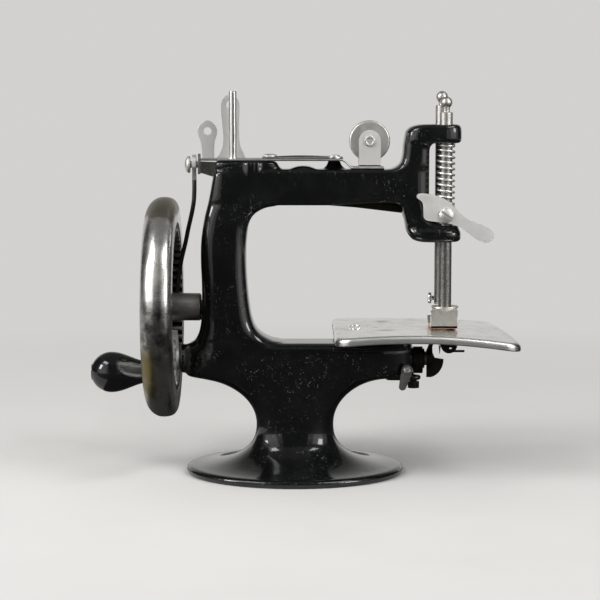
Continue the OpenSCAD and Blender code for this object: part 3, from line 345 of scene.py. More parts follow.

# materials of the CAD nodes, with their slot names
NODE_FINISH = {node: (finish, slot) for finish, slot, nodes in (
    (japan(), "casting", "frame"),
    (worn_nickel(), "nickel_casting", "hand_wheel"),
    (black_handle(), "black_wood", "crank_handle"),
    (oxidised_steel("rod_steel", (0.085, 0.08, 0.072), (0.07, 0.05, 0.035)), "dark_steel", "connecting_rod"),
    (lever_steel(), "steel", "needle_lever"),
    (worn_bar(), "nickel", "needle_bar presser_bar"),
    (foot_nickel(), "nickel", "presser_foot"),
    (COVER, "nickel_sheet", "top_plate top_strip"),
    (PLATE, "nickel_sheet", "cloth_plate"),
    (PLATE, "nickel", "cloth_plate_screws"),
    (plain_nickel("nickel", (0.72, 0.71, 0.68), 0.2, 0.3), "steel", "needle_clamp_screw presser_foot_screw"),
    (plain_nickel("nickel_sheet", (0.84, 0.83, 0.805), 0.56, 0.1, (5, 5, 0.8), 0.008), "nickel_sheet",
     "tension_bracket"),
    (plain_nickel("lifter_nickel", (0.93, 0.92, 0.895), 0.52, 0.1, (4, 1, 1.5), 0.008), "nickel_sheet",
     "lifter_lever"),
    (plain_nickel("spring_wire", (0.86, 0.85, 0.82), 0.4, 0.2, bump=0.004), "steel", "presser_spring"),
    (plain_nickel("disc_steel", (0.52, 0.51, 0.485), 0.46, 0.7, (3, 3, 3), 0.01), "steel", "tension_wheel"),
    (plain_nickel("pin_nickel", (0.6, 0.595, 0.575), 0.32, 0.1, (1, 1, 6)), "nickel", "spool_pin"),
    (DARK, "dark_steel", "feed_bar feed_cam stitch_screw looper"),
    (SATIN, "dark_steel", "pinion"),
    (SATIN, "nickel",
     "wheel_screw rod_screw lifter_screw top_plate_screws tension_pin tension_screw feed_spring_screw"),
    (STEEL, "nickel", "needle"),
    (STEEL, "steel", "wheel_stud handle_screw looper_shaft crank_pin pinion_screw lever_pivot_screw "
                     "needle_bar_stud presser_collar feed_dog feed_spring looper_screw"))
    for node in nodes.split()}
BODY_OF = {node: body for body, nodes in frame["record"]["behaviour"]["bodies"].items()
           for node in nodes}


# ---- mesh helpers ----
def turn(count):
    """Angles of a full turn in count steps, radians."""
    return [2 * pi * i / count for i in range(count)]


def arc(u, v, wide, high, angles):
    """Points of an ellipse round (u, v), at angles in degrees."""
    return [(u + wide * cos(a), v + high * sin(a)) for a in map(radians, angles)]


def circle(u, v, radius, count=48, start=0, end=360):
    """Points of a circle, or of an arc with both its ends, in degrees."""
    steps = count if end - start == 360 else count + 1
    return arc(u, v, radius, radius, [start + (end - start) * i / count for i in range(steps)])


def offset(u, v, points):
    """Moves an outline whose points are given from (u, v)."""
    return [(u + a, v + b) for a, b in points]


def eased(share):
    """Soft step from 0 to 1."""
    return 0.5 - 0.5 * cos(pi * share)


def skin(rows, around=True):
    """Faces between rows of point numbers; a row that repeats one number is a pole."""
    faces = []
    for low, high in zip(rows, rows[1:]):
        ends = (low[1:] + low[:1], high[1:] + high[:1]) if around else (low[1:], high[1:])
        faces += [tuple(dict.fromkeys(corners)) for corners in zip(low, *ends, high)]
    return faces


def loft(rings):
    """Points and faces over rows of equal rings, closed by a cap at each end."""
    count = len(rings[0])
    rows = [list(range(k * count, (k + 1) * count)) for k in range(len(rings))]
    return [p for ring in rings for p in ring], [tuple(rows[0])[::-1], tuple(rows[-1]), *skin(rows)]


def through(stations, steps):
    """Centripetal Catmull-Rom curve through the stations, steps points to each span."""
    points = [stations[0], *stations, stations[-1]]
    made = []
    for a, b, c, d in zip(points, points[1:], points[2:], points[3:]):
        knots = [0]
        for p, q in ((a, b), (b, c), (c, d)):
            knots.append(knots[-1] + max(dist(p, q), 1e-4) ** 0.5)
        k0, k1, k2, k3 = knots
        for i in range(steps):
            t = k1 + (k2 - k1) * i / steps

            def between(p, q, t0, t1):
                return [(t1 - t) / (t1 - t0) * u + (t - t0) / (t1 - t0) * v for u, v in zip(p, q)]
            ab, bc, cd = between(a, b, k0, k1), between(b, c, k1, k2), between(c, d, k2, k3)
            made.append(between(between(ab, bc, k0, k2), between(bc, cd, k1, k3), k1, k2))
    return made + [list(stations[-1])]


def soft_loop(outline, steps):
    """Closed smooth curve through the points of an outline."""
    made = []
    for i in range(len(outline)):
        around = [outline[(i + k) % len(outline)] for k in (-1, 0, 1, 2)]
        made += [tuple(p) for p in through(around, steps)[steps:2 * steps]]
    return made


def soft_sides(outline):
    """Smooth outline whose first two points stay sharp corners at its foot."""
    return [outline[0]] + [tuple(p) for p in through(outline[1:] + outline[:1], 4)][:-1]


def filleted(corners, closed=False, steps=6):
    """Points of a polyline whose corners (u, v, radius) are rounded; a radius of 0 stays sharp."""
    made = []
    count = len(corners)
    for i, (u, v, radius) in enumerate(corners):
        here = Vector((u, v))
        if radius == 0 or (not closed and i in (0, count - 1)):
            made.append((u, v))
            continue
        before = Vector(corners[i - 1][:2]) - here
        after = Vector(corners[(i + 1) % count][:2]) - here
        reach = min(radius, before.length * 0.49, after.length * 0.49)
        start, end = here + before.normalized() * reach, here + after.normalized() * reach
        for t in (k / steps for k in range(steps + 1)):
            made.append(tuple((1 - t) ** 2 * start + 2 * t * (1 - t) * here + t * t * end))
    return made


AXES = {"x": lambda u, v, w: (w, u, v), "y": lambda u, v, w: (u, w, v), "z": lambda u, v, w: (u, v, w)}


def turned(profile, axis, centre, segments, closed=False):
    """Points and faces of a turned solid: profile is [(radius, place along the axis)]."""
    points, rows = [], []
    for radius, along in profile:
        start = len(points)
        if radius < 1e-6:
            rows.append([start] * segments)
            points.append(AXES[axis](*centre, along))
        else:
            rows.append(list(range(start, start + segments)))
            points += [AXES[axis](centre[0] + radius * cos(a), centre[1] + radius * sin(a), along)
                       for a in turn(segments)]
    return points, skin(rows + rows[:1] if closed else rows)


def tube(path, radius, sides):
    """Points and faces of a round wire along a path."""
    rings = []
    path = [Vector(p) for p in path]
    for k, p in enumerate(path):
        along = (path[min(k + 1, len(path) - 1)] - path[max(k - 1, 0)]).normalized()
        # a tilted Y, which the wire never follows, so that the ring doesn't flip
        across = along.cross(Vector((0.02, 1, 0.01))).normalized()
        up = along.cross(across)
        rings.append([p + across * radius * cos(a) + up * radius * sin(a) for a in turn(sides)])
    return loft(rings)


def block(x0, x1, y0, y1, z0, z1):
    """Points and faces of a box."""
    points = [(x, y, z) for x in (x0, x1) for y in (y0, y1) for z in (z0, z1)]
    return points, [(0, 1, 3, 2), (4, 6, 7, 5), (0, 4, 5, 1), (2, 3, 7, 6), (0, 2, 6, 4), (1, 5, 7, 3)]


def prism(outline, axis, low, high):
    """Points and faces of an outline given a thickness."""
    return loft([[AXES[axis](u, v, w) for u, v in outline] for w in (low, high)])


def pin(axis, centre, low, high, radius, segments=48):
    """Points and faces of a plain round rod."""
    return turned([(0, low), (radius, low), (radius, high), (0, high)], axis, centre, segments)


def joined(shapes):
    """Points and faces of several shapes as one."""
    points, faces = [], []
    for more_points, more_faces in shapes:
        faces += [tuple(len(points) + i for i in face) for face in more_faces]
        points += more_points
    return points, faces


def cut_sheet(outline, holes, axis, low, high, bevel):
    """bmesh of a flat piece in mm: outline and holes are [(u, v)], thick from low to high."""
    made = bmesh.new()
    place = AXES[axis]
    loops = [[Vector((u, v, 0)) for u, v in loop] for loop in (outline, *holes)]
    bottom, top = ([made.verts.new(place(p.x, p.y, w)) for loop in loops for p in loop]
                   for w in (low, high))
    for a, b, c in geometry.tessellate_polygon(loops):
        made.faces.new((bottom[a], bottom[b], bottom[c]))
        made.faces.new((top[c], top[b], top[a]))
    start = 0
    for loop in loops:
        for i in range(len(loop)):
            a, b = start + i, start + (i + 1) % len(loop)
            made.faces.new((bottom[a], bottom[b], top[b], top[a]))
        start += len(loop)
    bmesh.ops.recalc_face_normals(made, faces=made.faces)
    rim = [e for e in made.edges if len(e.link_faces) == 2
           and sum(len(f.verts) == 4 for f in e.link_faces) == 1]
    bmesh.ops.bevel(made, geom=rim, offset=bevel, segments=3, affect="EDGES", profile=0.5,
                    clamp_overlap=True)
    return made


def mesh_of(made, name):
    """Mesh in metres from a bmesh in mm."""
    bmesh.ops.scale(made, vec=EVEN * MM, verts=made.verts)
    mesh = bpy.data.meshes.new(name)
    made.to_mesh(mesh)
    made.free()
    return mesh


def face_out(mesh):
    """Turns a mesh's faces outwards."""
    made = bmesh.new()
    made.from_mesh(mesh)
    bmesh.ops.recalc_face_normals(made, faces=made.faces)
    made.to_mesh(mesh)
    made.free()


def new_mesh(name, shape):
    """Mesh in metres of points and faces in mm."""
    mesh = bpy.data.meshes.new(name)
    mesh.from_pydata([Vector(p) * MM for p in shape[0]], [], shape[1])
    face_out(mesh)
    return mesh


def add(name, data):
    """Puts a mesh, lamp or camera in the scene."""
    holder = bpy.data.objects.new(name, data)
    bpy.context.scene.collection.objects.link(holder)
    return holder


def settle(holder):
    """Turns an object's modifiers into its mesh."""
    graph = bpy.context.evaluated_depsgraph_get()
    mesh = bpy.data.meshes.new_from_object(holder.evaluated_get(graph))
    holder.modifiers.clear()
    holder.data = mesh
    return mesh


def carve(holder, shapes):
    """Cuts shapes from an object."""
    for shape in shapes:
        tool = add("tool", new_mesh("tool", shape))
        step = holder.modifiers.new("cut", "BOOLEAN")
        step.operation, step.object, step.solver = "DIFFERENCE", tool, "EXACT"
        settle(holder)
        bpy.data.objects.remove(tool)


def round_edges(piece, width):
    """Rounds a piece's sharp edges a little, so that they catch the light."""
    edge = piece.modifiers.new("edge", "BEVEL")
    edge.width, edge.segments, edge.limit_method = width * MM, 2, "ANGLE"
    edge.angle_limit = radians(38)
    edge.harden_normals = True
    piece.modifiers.move(len(piece.modifiers) - 1, 0)


def dress(name, node, mesh, material=None, crease=35):
    """A piece in place of a CAD node, smooth but for edges over crease degrees."""
    face_out(mesh)
    mesh.shade_smooth()
    mesh.set_sharp_from_angle(angle=radians(crease))
    piece = add(name, mesh)
    mesh.materials.clear()
    mesh.materials.append(material or NODE_FINISH[node][0])
    if crease < 180:
        even = piece.modifiers.new("even", "WEIGHTED_NORMAL")
        even.keep_sharp = True
    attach(piece, BODY_OF[node])
    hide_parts(node)
    return piece


def carved(name, node, mesh, cuts, **look):
    """A piece made of one mesh with shapes cut out of it."""
    holder = add(name, mesh)
    carve(holder, cuts)
    mesh = holder.data
    bpy.data.objects.remove(holder)
    return dress(name, node, mesh, **look)


def solid(name, node, shape, **look):
    """A piece made of points and faces."""
    return dress(name, node, new_mesh(name, shape), **look)


def sheet(name, node, outline, holes, axis, low, high, bevel, **look):
    """A flat piece with rounded edges."""
    dress(name, node, mesh_of(cut_sheet(outline, holes, axis, low, high, bevel), name), **look)


def lathe(name, node, profile, axis, centre, segments, closed=False, **look):
    """A turned piece."""
    solid(name, node, turned(profile, axis, centre, segments, closed), **look)


def ring(name, node, section, axis, centre, segments, steps=4, **look):
    """A turned ring, whose section's corners (radius, place along the axis, fillet) are rounded."""
    lathe(name, node, filleted(section, True, steps), axis, centre, segments, True, **look)


# ---- sizes shared with the CAD model, mm ----
SHAFT_Z = 49.7
WHEEL_RIGHT, WHEEL_LEFT = -50.7, -63.9
WEB_RIGHT, WEB_LEFT = WHEEL_RIGHT - 7.9, WHEEL_RIGHT - 10.7
GEAR_MODULE, RING_TEETH = 1.25, 54
HANDLE_Z, HANDLE_RIGHT, HANDLE_LENGTH = WHEEL_Z - 28.5, -62.7, 26
ARM_TOP, PAD_TOP, COVER_TOP, STRIP_TOP = 131.9, 135.4, 136.3, 137
PAD_SCREW_X, BOSS_X, SPOOL_X = -10.7, 16.8, -26.6
GUIDE_NEAR, GUIDE_FAR = 6.1, 7
TENSION_X, TENSION_Z, BRACKET_LOW, BRACKET_TOP = 32, 143.8, 132.8, 133.8
COLLAR_TOP, UPPER_LUG, FINGER = 115.4, 143.3, (48, 46.3)
PIVOT_Z, LEVER_LOW, LEVER_HIGH = 120.5, 0, 1.4
LEVER_MID = (LEVER_LOW + LEVER_HIGH) / 2
NEEDLE_X, NEEDLE_Y, PRESSER_X, PRESSER_Y, BAR_RADIUS = 63.3, 4.4, 64.5, -4.4, 2.75
LIFTER_Z, LIFTER_BACK, LIFTER_FRONT = 112.5, -9.2, -10.6
PLATE_TOP, PLATE_LEFT, PLATE_RIGHT, PLATE_HALF = 63.4, 16.6, 94.5, 38
TAIL_X, TAIL_Z = -43.25, 133.65
EAR_LEFT, EAR_RIGHT = -41.55, -40.55


# ---- the casting ----
def casting_stations():
    """[z, left, right, half depth, power] up the foot, pedestal and bed."""
    waist, deep = 16.7, 12.5
    made = [(0, -46.4, 46.4, 38.2, 2), (0.7, -47.2, 47.2, 39, 2), (2.3, -47.2, 47.2, 39, 2),
            (3, -46.6, 46.6, 38.4, 2), (3.4, -45.4, 45.4, 37.2, 2)]
    for s in (i / 24 for i in range(1, 25)):
        f = (1 - s) ** 2.4
        made.append((3.4 + 18 * s ** 1.55, -waist - 28.7 * f, waist + 28.7 * f, deep + 24.7 * f, 2 + 0.6 * s))
    for s in (i / 20 * 0.98 for i in range(1, 21)):
        f = 1 - sqrt(1 - s * s)
        made.append((21.4 + 20.4 * s, -waist - 29 * f, waist + 26 * f, deep - 0.3 * s, 2.6 + s))
    return made + [
        (42.6, -46.4, 47.8, 12.2, 4), (43.8, -47.4, 49.8, 12.2, 4.5), (46, -47.4, 50.4, 12.2, 5),
        (54.1, -47.2, 50.4, 12.2, 5), (55.5, -46.4, 50.4, 11.7, 5), (56.5, -45.4, 50.2, 10.7, 5),
        (57.1, -44.4, 49.8, 9.3, 5), (57.3, -44, 49.4, 8, 5)]


def column_stations():
    """The same up the column, from inside the bed to inside the arm."""
    return through(
        [(46, -45, -8, 12, 4), (52, -44.6, -4, 12, 4), (55.6, -44.2, -2, 11.5, 4),
         (57.5, -43.4, -5.4, 11, 4), (58.5, -42.9, -10, 11.1, 4), (60.9, -41.7, -14.3, 10.9, 4),
         (63.7, -40.9, -16.8, 10.6, 4), (67.8, -40.4, -18.4, 10.4, 4), (74.8, -40.1, -19.6, 10.3, 4),
         (84.5, -40.2, -20.5, 10.1, 4), (91, -40.5, -20.8, 9.9, 4), (98, -40.5, -20.8, 9.7, 4),
         (103.5, -40.1, -20.4, 9.5, 4), (108.7, -39.3, -19.6, 9.3, 4), (111.9, -38.7, -17.9, 9.2, 4),
         (113.9, -38.2, -15.4, 9.1, 4), (115.5, -37.8, -11.6, 9, 4), (116.3, -37.6, -7.4, 8.9, 4),
         (118.2, -37.1, -12, 8.9, 4.5), (124.9, -35.8, -16, 8.9, 5), (130.6, -34.8, -16, 8.7, 5)], 4)


def arm_stations():
    """The same up the arm and the pad on it."""
    return [(116.5, -36.5, 48, 8.1, 5), (117.2, -36.5, 50, 9, 6), (124.9, -35.6, 50, 9, 6),
            (130.3, -34.7, 50, 8.9, 6), (131.3, -34.6, 49, 8.4, 6), (131.85, -34.5, 48, 7.5, 6),
            (131.9, -34.5, -6, 7.8, 6), (134.6, -34.5, -7.6, 8, 6), (135.2, -34.3, -8.4, 7.4, 6)]


def head_stations():
    """The same up the lower lug, the spine and the upper lug."""
    lower = [(100.7, 53.4, 70.1, 8.7, 3.4), (101.5, 50.6, 71.1, 9.9, 3.6), (102.9, 49.2, 71.3, 10.3, 3.8),
             (104.9, 47.9, 71.3, 10.3, 3.8), (105.6, 47.6, 70.9, 9.9, 3.8), (106, 47.4, 70.6, 8.9, 3.8),
             (107.5, 47.3, 70.2, 8.8, 3.8), (108, 47.2, 69.6, 8.4, 3.8), (108.2, 47.2, 68.6, 7.6, 3.8)]
    spine = [(108.2, 47.2, 62.4, 8.7, 4), (109.2, 46.9, 60.2, 8.8, 4), (110.4, 46.7, 58.9, 8.8, 4),
             (111.5, 46.4, 58.1, 8.8, 4), (112.6, 46.2, 57.6, 8.8, 4), (115.2, 44.6, 57.6, 8.9, 4),
             (117.5, 41, 57.6, 8.9, 4), (130.9, 38.6, 57.6, 8.9, 4), (132.5, 42.4, 57.6, 8.9, 4),
             (134.3, 44.9, 57.6, 8.9, 4), (138.3, 46, 57.6, 8.9, 4), (141.2, 46.2, 57.8, 8.9, 4),
             (142.9, 46.3, 59.2, 8.9, 4)]
    upper = [(142.9, 46.4, 70.3, 9.5, 3.8), (143.6, 46.5, 71.3, 10.3, 3.8), (147.9, 47.2, 71.3, 10.3, 3.8),
             (149.7, 48.9, 71.1, 10, 3.8), (150.6, 51.2, 70.6, 9.4, 3.8), (151, 54, 69.6, 8.3, 3.8)]
    return lower + through(spine, 4) + upper


def station_ring(z, left, right, half, power, count=160):
    """Level ring of points whose outline runs from an ellipse (power 2) towards a rectangle."""
    def swell(value):
        return copysign(abs(value) ** (2 / power), value)
    return [((left + right) / 2 + (right - left) / 2 * swell(cos(a)), half * swell(sin(a)), z)
            for a in turn(count)]


def fuse(holder):
    """Makes one even skin of all that an object holds."""
    step = holder.modifiers.new("fuse", "REMESH")
    step.mode, step.voxel_size = "VOXEL", 0.55 * MM
    settle(holder)


def casting():
    """One smooth body fused from lofts, cut for the lever and the shafts, then softened all over."""
    parts = [loft([station_ring(*s) for s in stations]) for stations in
             (casting_stations(), column_stations(), arm_stations(), head_stations())]
    # bosses of the shaft, and of the strip's screw
    parts += [pin("x", (0, SHAFT_Z), -49.8, -30, 6.3), pin("x", (0, SHAFT_Z), 44, 51.1, 6.6)]
    parts.append(turned([(0, 130.5), (5.6, 130.5), (4.4, 132.2), (3.1, 133.6), (2.8, 134.6), (3, PAD_TOP),
                         (0, PAD_TOP)], "z", (BOSS_X, 0), 48))
    # swelling round the lever's pivot, and the pad's two nubs
    swell = [(3.5 + 12 * sin(a), 121.3 + 12 * cos(a)) for a in map(radians, range(-44, 45, 4))]
    parts.append(prism([(-4.8, 126)] + swell + [(11.8, 126)], "y", -7, 7))
    parts += [pin("z", (x, -7.35), 127.5, 135.2, 1.75, 24) for x in (-16.3, -19.6)]
    # tongue under the bed for the stitch screw, and the plate's seat
    parts += [block(39.5, 51.5, -3.4, 3.4, 40.2, 42.6), pin("z", (51.5, 0), 40.2, 42.6, 3.4),
              block(19, 48, -9, 9, 55, 62.4)]
    holder = add("casting", new_mesh("casting", joined(parts)))
    fuse(holder)
    slot = [(-52, 115.5), (-18, 114.5), (44, 111.5), (59.6, 109.3), (59.6, 136.4), (46, 132.6),
            (36, 129.9), (-17, 129.6), (-17, 140), (-52, 140)]
    # arched underside of the near wall, under which the lever shows
    arch = [(12, 116), (20, 116.75), (30, 117.45), (39, 117.8), (43, 117.4), (46, 116.2), (46, 114),
            (12, 114)]
    carve(holder, [
        prism(slot, "y", LEVER_MID - 2.3, LEVER_MID + 2.3), pin("x", (0, SHAFT_Z), -60, 56, 3.3),
        pin("x", (0, WHEEL_Z), -60, -28, 3.1), pin("y", (0, PIVOT_Z), -6, 20, 1.7),
        pin("z", (NEEDLE_X, NEEDLE_Y), 90, 160, BAR_RADIUS + 0.3),
        pin("z", (PRESSER_X, PRESSER_Y), 90, 160, BAR_RADIUS + 0.3),
        prism(arch, "y", -12, LEVER_MID - 2.2)])
    fuse(holder)
    ease = holder.modifiers.new("ease", "SMOOTH")
    ease.factor, ease.iterations = 0.5, 14
    thin = holder.modifiers.new("thin", "DECIMATE")
    thin.ratio = 0.55
    mesh = settle(holder)
    for vertex in mesh.vertices:
        if vertex.co.z < 0.3 * MM:
            vertex.co.z = 0
    bpy.data.objects.remove(holder)
    dress("casting_body", "frame", mesh, crease=180)


# ---- wheel, handle and drive ----
def gear(teeth, tip, pitch, root, half_width, centre):
    """Outline of a gear in Y and Z: trapezoid teeth, half_width at the pitch circle."""
    points = []
    for around in turn(teeth):
        for radius, side in ((root, -1), (tip, -1), (tip, 1), (root, 1)):
            half = max(half_width - 0.42 * (radius - pitch), 0.3)
            angle = around + side * asin(half / radius)
            points.append((centre[0] + radius * cos(angle), centre[1] + radius * sin(angle)))
    return points


def wheel():
    """Cast wheel with a rounded rim, a dished web, a hub and a ring of teeth inside."""
    x0, x1, bore, hollow = WHEEL_LEFT, WHEEL_RIGHT, 3.08, 36.4
    rim = [(hollow, x1, 0.3), (44.6, x1, 1.2), (46.7, x1 - 1.5, 1.6), (47.5, x1 - 4.2, 2.2)]
    rim += [(*p, 0) for p in arc(39.5, x1 - 6, 8, -7.2, range(6, 91, 6))]
    rim += [(37.4, x0 + 0.1, 1.2), (35.4, WEB_LEFT - 0.6, 1.5), (33, WEB_LEFT, 1), (10.5, WEB_LEFT, 1),
            (8.6, WEB_LEFT - 1.2, 0.6), (bore, WEB_LEFT - 1.2, 0), (bore, WEB_RIGHT - 1, 0),
            (9, WEB_RIGHT, 0), (31.5, WEB_RIGHT, 2), (hollow, WEB_RIGHT + 2, 1.5)]
    ring("wheel_rim", "hand_wheel", rim, "x", (0, WHEEL_Z), 256, 8, crease=50)
    hub = [(bore, WEB_RIGHT - 1, 0), (9, WEB_RIGHT - 0.05, 0), (6.6, WEB_RIGHT + 0.9, 1),
           (6, WEB_RIGHT + 3, 1), (5.95, -41.2, 0), (5.5, -40.55, 0.4), (bore, -40.55, 0)]
    ring("wheel_hub", "hand_wheel", hub, "x", (0, WHEEL_Z), 96, 6, material=HUB)
    pitch = GEAR_MODULE * RING_TEETH / 2
    teeth = gear(RING_TEETH, pitch + GEAR_MODULE * 1.2, pitch, pitch - GEAR_MODULE * 0.9,
                 pi * GEAR_MODULE / 4 + 0.07, (0, WHEEL_Z))
    sheet("wheel_teeth", "hand_wheel", circle(0, WHEEL_Z, hollow + 0.05, 144), [teeth], "x", x1 - 5,
          x1 - 0.25, 0.1, material=TEETH)


def handle():
    """Turned wood: a round end, a long neck, and a recess for the screw's head."""
    right, left = HANDLE_RIGHT, HANDLE_RIGHT - HANDLE_LENGTH
    bulb, neck, bore, steps = 8.8, 4.5, 1.75, 14
    profile = [(bore, left + 2.2), (3.6, left + 2.2), (3.6, left + 0.75), (3.45, left + 0.45)]
    profile += [(r, x) for x, r in arc(left + 9, 0, -9, bulb, range(22, 91, 4))]
    profile += [(bulb - 4.3 * eased(s / steps), left + 9 + 17 * s / steps) for s in range(1, steps)]
    profile += [(neck, right - 0.4), (4.2, right), (bore, right)]
    lathe("handle_wood", "crank_handle", profile, "x", (0, HANDLE_Z), 96, closed=True)


def rod():
    """Bent wire, flattened where it meets each eye."""
    route = [(TAIL_X, LEVER_MID, 129.5), (TAIL_X, LEVER_MID, 127), (-43.3, 1.2, 122.5), (-43.6, 2.2, 118),
             (-44.3, 3.6, 114), (-45.3, 5.4, 109.8), (-46.4, 7.4, 105.5), (-47.4, 9.4, 101),
             (-48.4, 11.2, 97), (-49.7, 13, 92), (-50.7, 14.1, 87), (-51.4, 14.6, 82), (-52.1, 14.8, 78),
             (-53.1, 14.7, 74.5), (-54.6, 14.5, 71.5), (-56.2, 13.8, 68), (-56.9, 12, 65), (-57.2, 9, 62),
             (-57.2, 5.6, 59.6), (-57.2, 2.4, 56.8)]
    solid("rod_wire", "connecting_rod", tube(through(route, 6), 0.95, 20), crease=180)
    # the eye's top is a little higher than its bottom, and it narrows to a tang over the wire
    flat = arc(LEVER_MID, TAIL_Z, 3.4, 3.7, range(-48, 1, 6))
    flat += arc(LEVER_MID, TAIL_Z, 3.4, 4.2, range(6, 181, 6))
    flat += circle(LEVER_MID, TAIL_Z, 3.5, 6, 190, 228)
    flat += offset(LEVER_MID, TAIL_Z, [(-1.5, -4.6), (-1, -6.6), (1, -6.6), (1.5, -4.6)])
    sheet("rod_top_eye", "connecting_rod", flat, [circle(LEVER_MID, TAIL_Z, 2, 40)], "x", TAIL_X - 0.8,
          TAIL_X + 0.8, 0.35, material=SATIN)
    section = [(1.65, -57.9, 0.15), (3.4, -57.9, 0.3), (3.4, -56.5, 0.3), (1.65, -56.5, 0.15)]
    ring("rod_low_eye", "connecting_rod", section, "x", (0, 55.2), 64)


def rod_screw():
    """Screw with a domed head that holds the rod's eye to the lever's ear."""
    face = TAIL_X - 1.7
    profile = arc(0, face - 0.5, 3.65, -1.9, range(90, -1, -6))
    profile += [(3.55, face - 0.1), (3.4, face), (1.4, face), (1.4, EAR_RIGHT - 0.05), (0, EAR_RIGHT - 0.05)]
    lathe("rod_screw_dome", "rod_screw", profile, "x", (LEVER_MID, TAIL_Z), 64)


def lever():
    """Rocking plate; its outline is the CAD model's with the ear bent across the tail."""
    def mid(x):
        """Height of the long end's middle."""
        return PIVOT_Z - 7.5 / NEEDLE_X * x
    outline = [(-41.55, 130.4), (-41.55, 135), (-34, 134.7), (-24, 131.4), (-14, 127.6), (-4, 124.8),
               (4, 124.2), (12, mid(12) + 2.8), (26, mid(26) + 2.2), (46, mid(46) + 2.2),
               (57, mid(57) + 3.4), (66.5, mid(57) + 2.9), (66.5, 114.55), (60.3, 114.55), (60.3, 111.45),
               (66.5, 111.45), (66.5, mid(64) - 3.2), (57, mid(57) - 3.2), (46, mid(46) - 2.2),
               (26, mid(26) - 2.2), (12, mid(12) - 2.8), (4, 116.4), (-4, 116.6), (-12, 119.4),
               (-24, 124.2), (-34.5, 128.2)]
    sheet("lever_plate", "needle_lever", outline, [circle(0, PIVOT_Z, 1.55, 32)], "y", LEVER_LOW,
          LEVER_HIGH, 0.15)
    ear = [(-3.3, 129.65), (4.7, 129.65)] + circle(LEVER_MID, 134.65, 3.6, 24, 0, 180)
    ear = [(max(min(y, 4.3), -2.9), z) for y, z in ear]
    sheet("lever_ear", "needle_lever", ear, [circle(LEVER_MID, TAIL_Z, 1.42, 32)], "x", EAR_LEFT,
          EAR_RIGHT, 0.2)


# ---- bars, presser and needle ----
def ball_bar(name, node, x, y, bottom, shoulder, ball_z):
    """Bar with a chamfered lower end, a waisted neck and a ball on top."""
    r, ball = BAR_RADIUS, BAR_RADIUS - 0.25
    top = arc(0, ball_z, ball, ball, range(-52, 90, 6))
    shank = filleted([(0, bottom, 0), (r, bottom, 0.4), (r, shoulder, 0.35), (1.35, shoulder + 0.15, 0.5),
                      (*top[0], 0)], steps=4)
    lathe(name, node, shank + top[1:] + [(0, ball_z + ball)], "z", (x, y), 64)


def spring():
    """Coil between the collar and the upper lug; it stays with the base."""
    steps, turns, wire, r, lift = 36, 12, 1.05, 3.53, 3.7
    low, high = COLLAR_TOP + wire / 2 + 0.05, UPPER_LUG - wire / 2 - 0.05

    def height(t):
        """Height after t turns; the first and the last lie flat."""
        if t < 1:
            return low + wire * t
        if t > turns - 1:
            return high + wire * (t - turns)
        return low + wire + (high - low - 2 * wire) * (t - 1) / (turns - 2)
    path = [(PRESSER_X + r * cos(2 * pi * i / steps),
             PRESSER_Y - r * sin(2 * pi * i / steps), height(i / steps))
            for i in range(steps * turns + 1)]
    coil = solid("spring_coil", "presser_spring", tube(path, wire / 2, 12), crease=180)
    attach(coil, "base")
    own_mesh(coil)


def lifter():
    """Bent lever with a nose over the lower lug and a round paddle."""
    x, z = PRESSER_X, LIFTER_Z
    outline = circle(x - 7.5, z - 0.1, 2.3, 8, 188, 262)
    outline += offset(x, z, [(-3, -2.9), (1.5, -3.6), (5.4, -4.9), (8.4, -7), (12, -9.8)])
    outline += arc(x + 16.9, z - 8.6, 3.5, 3, range(-118, 63, 10))
    outline += offset(x, z, [(13.9, -3.6), (9, -1.7), (5.6, 1.2), (2.6, 4.4), (-1, 7), (-5.4, 8.6),
                             (-10.2, 9.3)])
    outline += circle(x - 11.5, z + 8, 1.2, 10, 90, 216) + [(x - 10.3, z + 5.4)]
    sheet("lifter_plate", "lifter_lever", soft_loop(outline, 3), [circle(x, z, 1.66, 40)], "y",
          LIFTER_FRONT, LIFTER_BACK, 0.5)


def foot():
    """Presser foot: sleeve with a flared lip, upright front and a sole turned up at its far end."""
    x, z, r = PRESSER_X, PLATE_TOP + 0.3, BAR_RADIUS
    front = PRESSER_Y - r - 1.7
    sleeve = [(r, z + 2.4, 0), (r, z + 9.1, 0), (r + 3.1, z + 9.35, 0.1), (r + 3.2, z + 8.95, 0.1),
              (r + 1.7, z + 7.6, 0.8), (r + 1.2, z + 6.4, 0.6), (r + 1.2, z + 0.7, 0.2), (0.5, z + 0.6, 0)]
    lathe("foot_sleeve", "presser_foot", [(0, z + 2.4)] + filleted(sleeve, steps=5) + [(0, z + 0.6)], "z",
          (x, PRESSER_Y), 64, crease=40)
    face = offset(x, z, [(-6.4, 0), (5.4, 0), (5.4, 8.1), (4.6, 8.6), (-5.6, 8.6), (-6.4, 8.1)])
    sheet("foot_front", "presser_foot", face, [], "y", front, front + 1.1, 0.25)
    side = offset(0, z, [(front, 0), (7.65, 0), (7.7, 0.2), (12.2, 2.6), (11.7, 3.5), (6.9, 1.15),
                         (front, 1.1)])
    sole = mesh_of(cut_sheet(side, [], "x", x - 6.4, x + 5.4, 0.2), "foot_sole")
    carved("foot_sole", "presser_foot", sole, [pin("z", (NEEDLE_X, NEEDLE_Y), 50, 90, BAR_RADIUS + 0.7)])


# ---- plates ----
def sag(x, y):
    """Height of the plate above its level part: its free end droops, and its near edge is bowed."""
    middle = 0 if x < 48 else -2.4 * ((x - 48) / (PLATE_RIGHT - 48)) ** 2
    near = 1 - 0.0016 * (x - 50) ** 2 - 0.02 * max(0, x - 60)
    return middle + max(0, -y / PLATE_HALF) ** 2 * (near - middle) - 0.6 * max(0, y / PLATE_HALF) ** 2


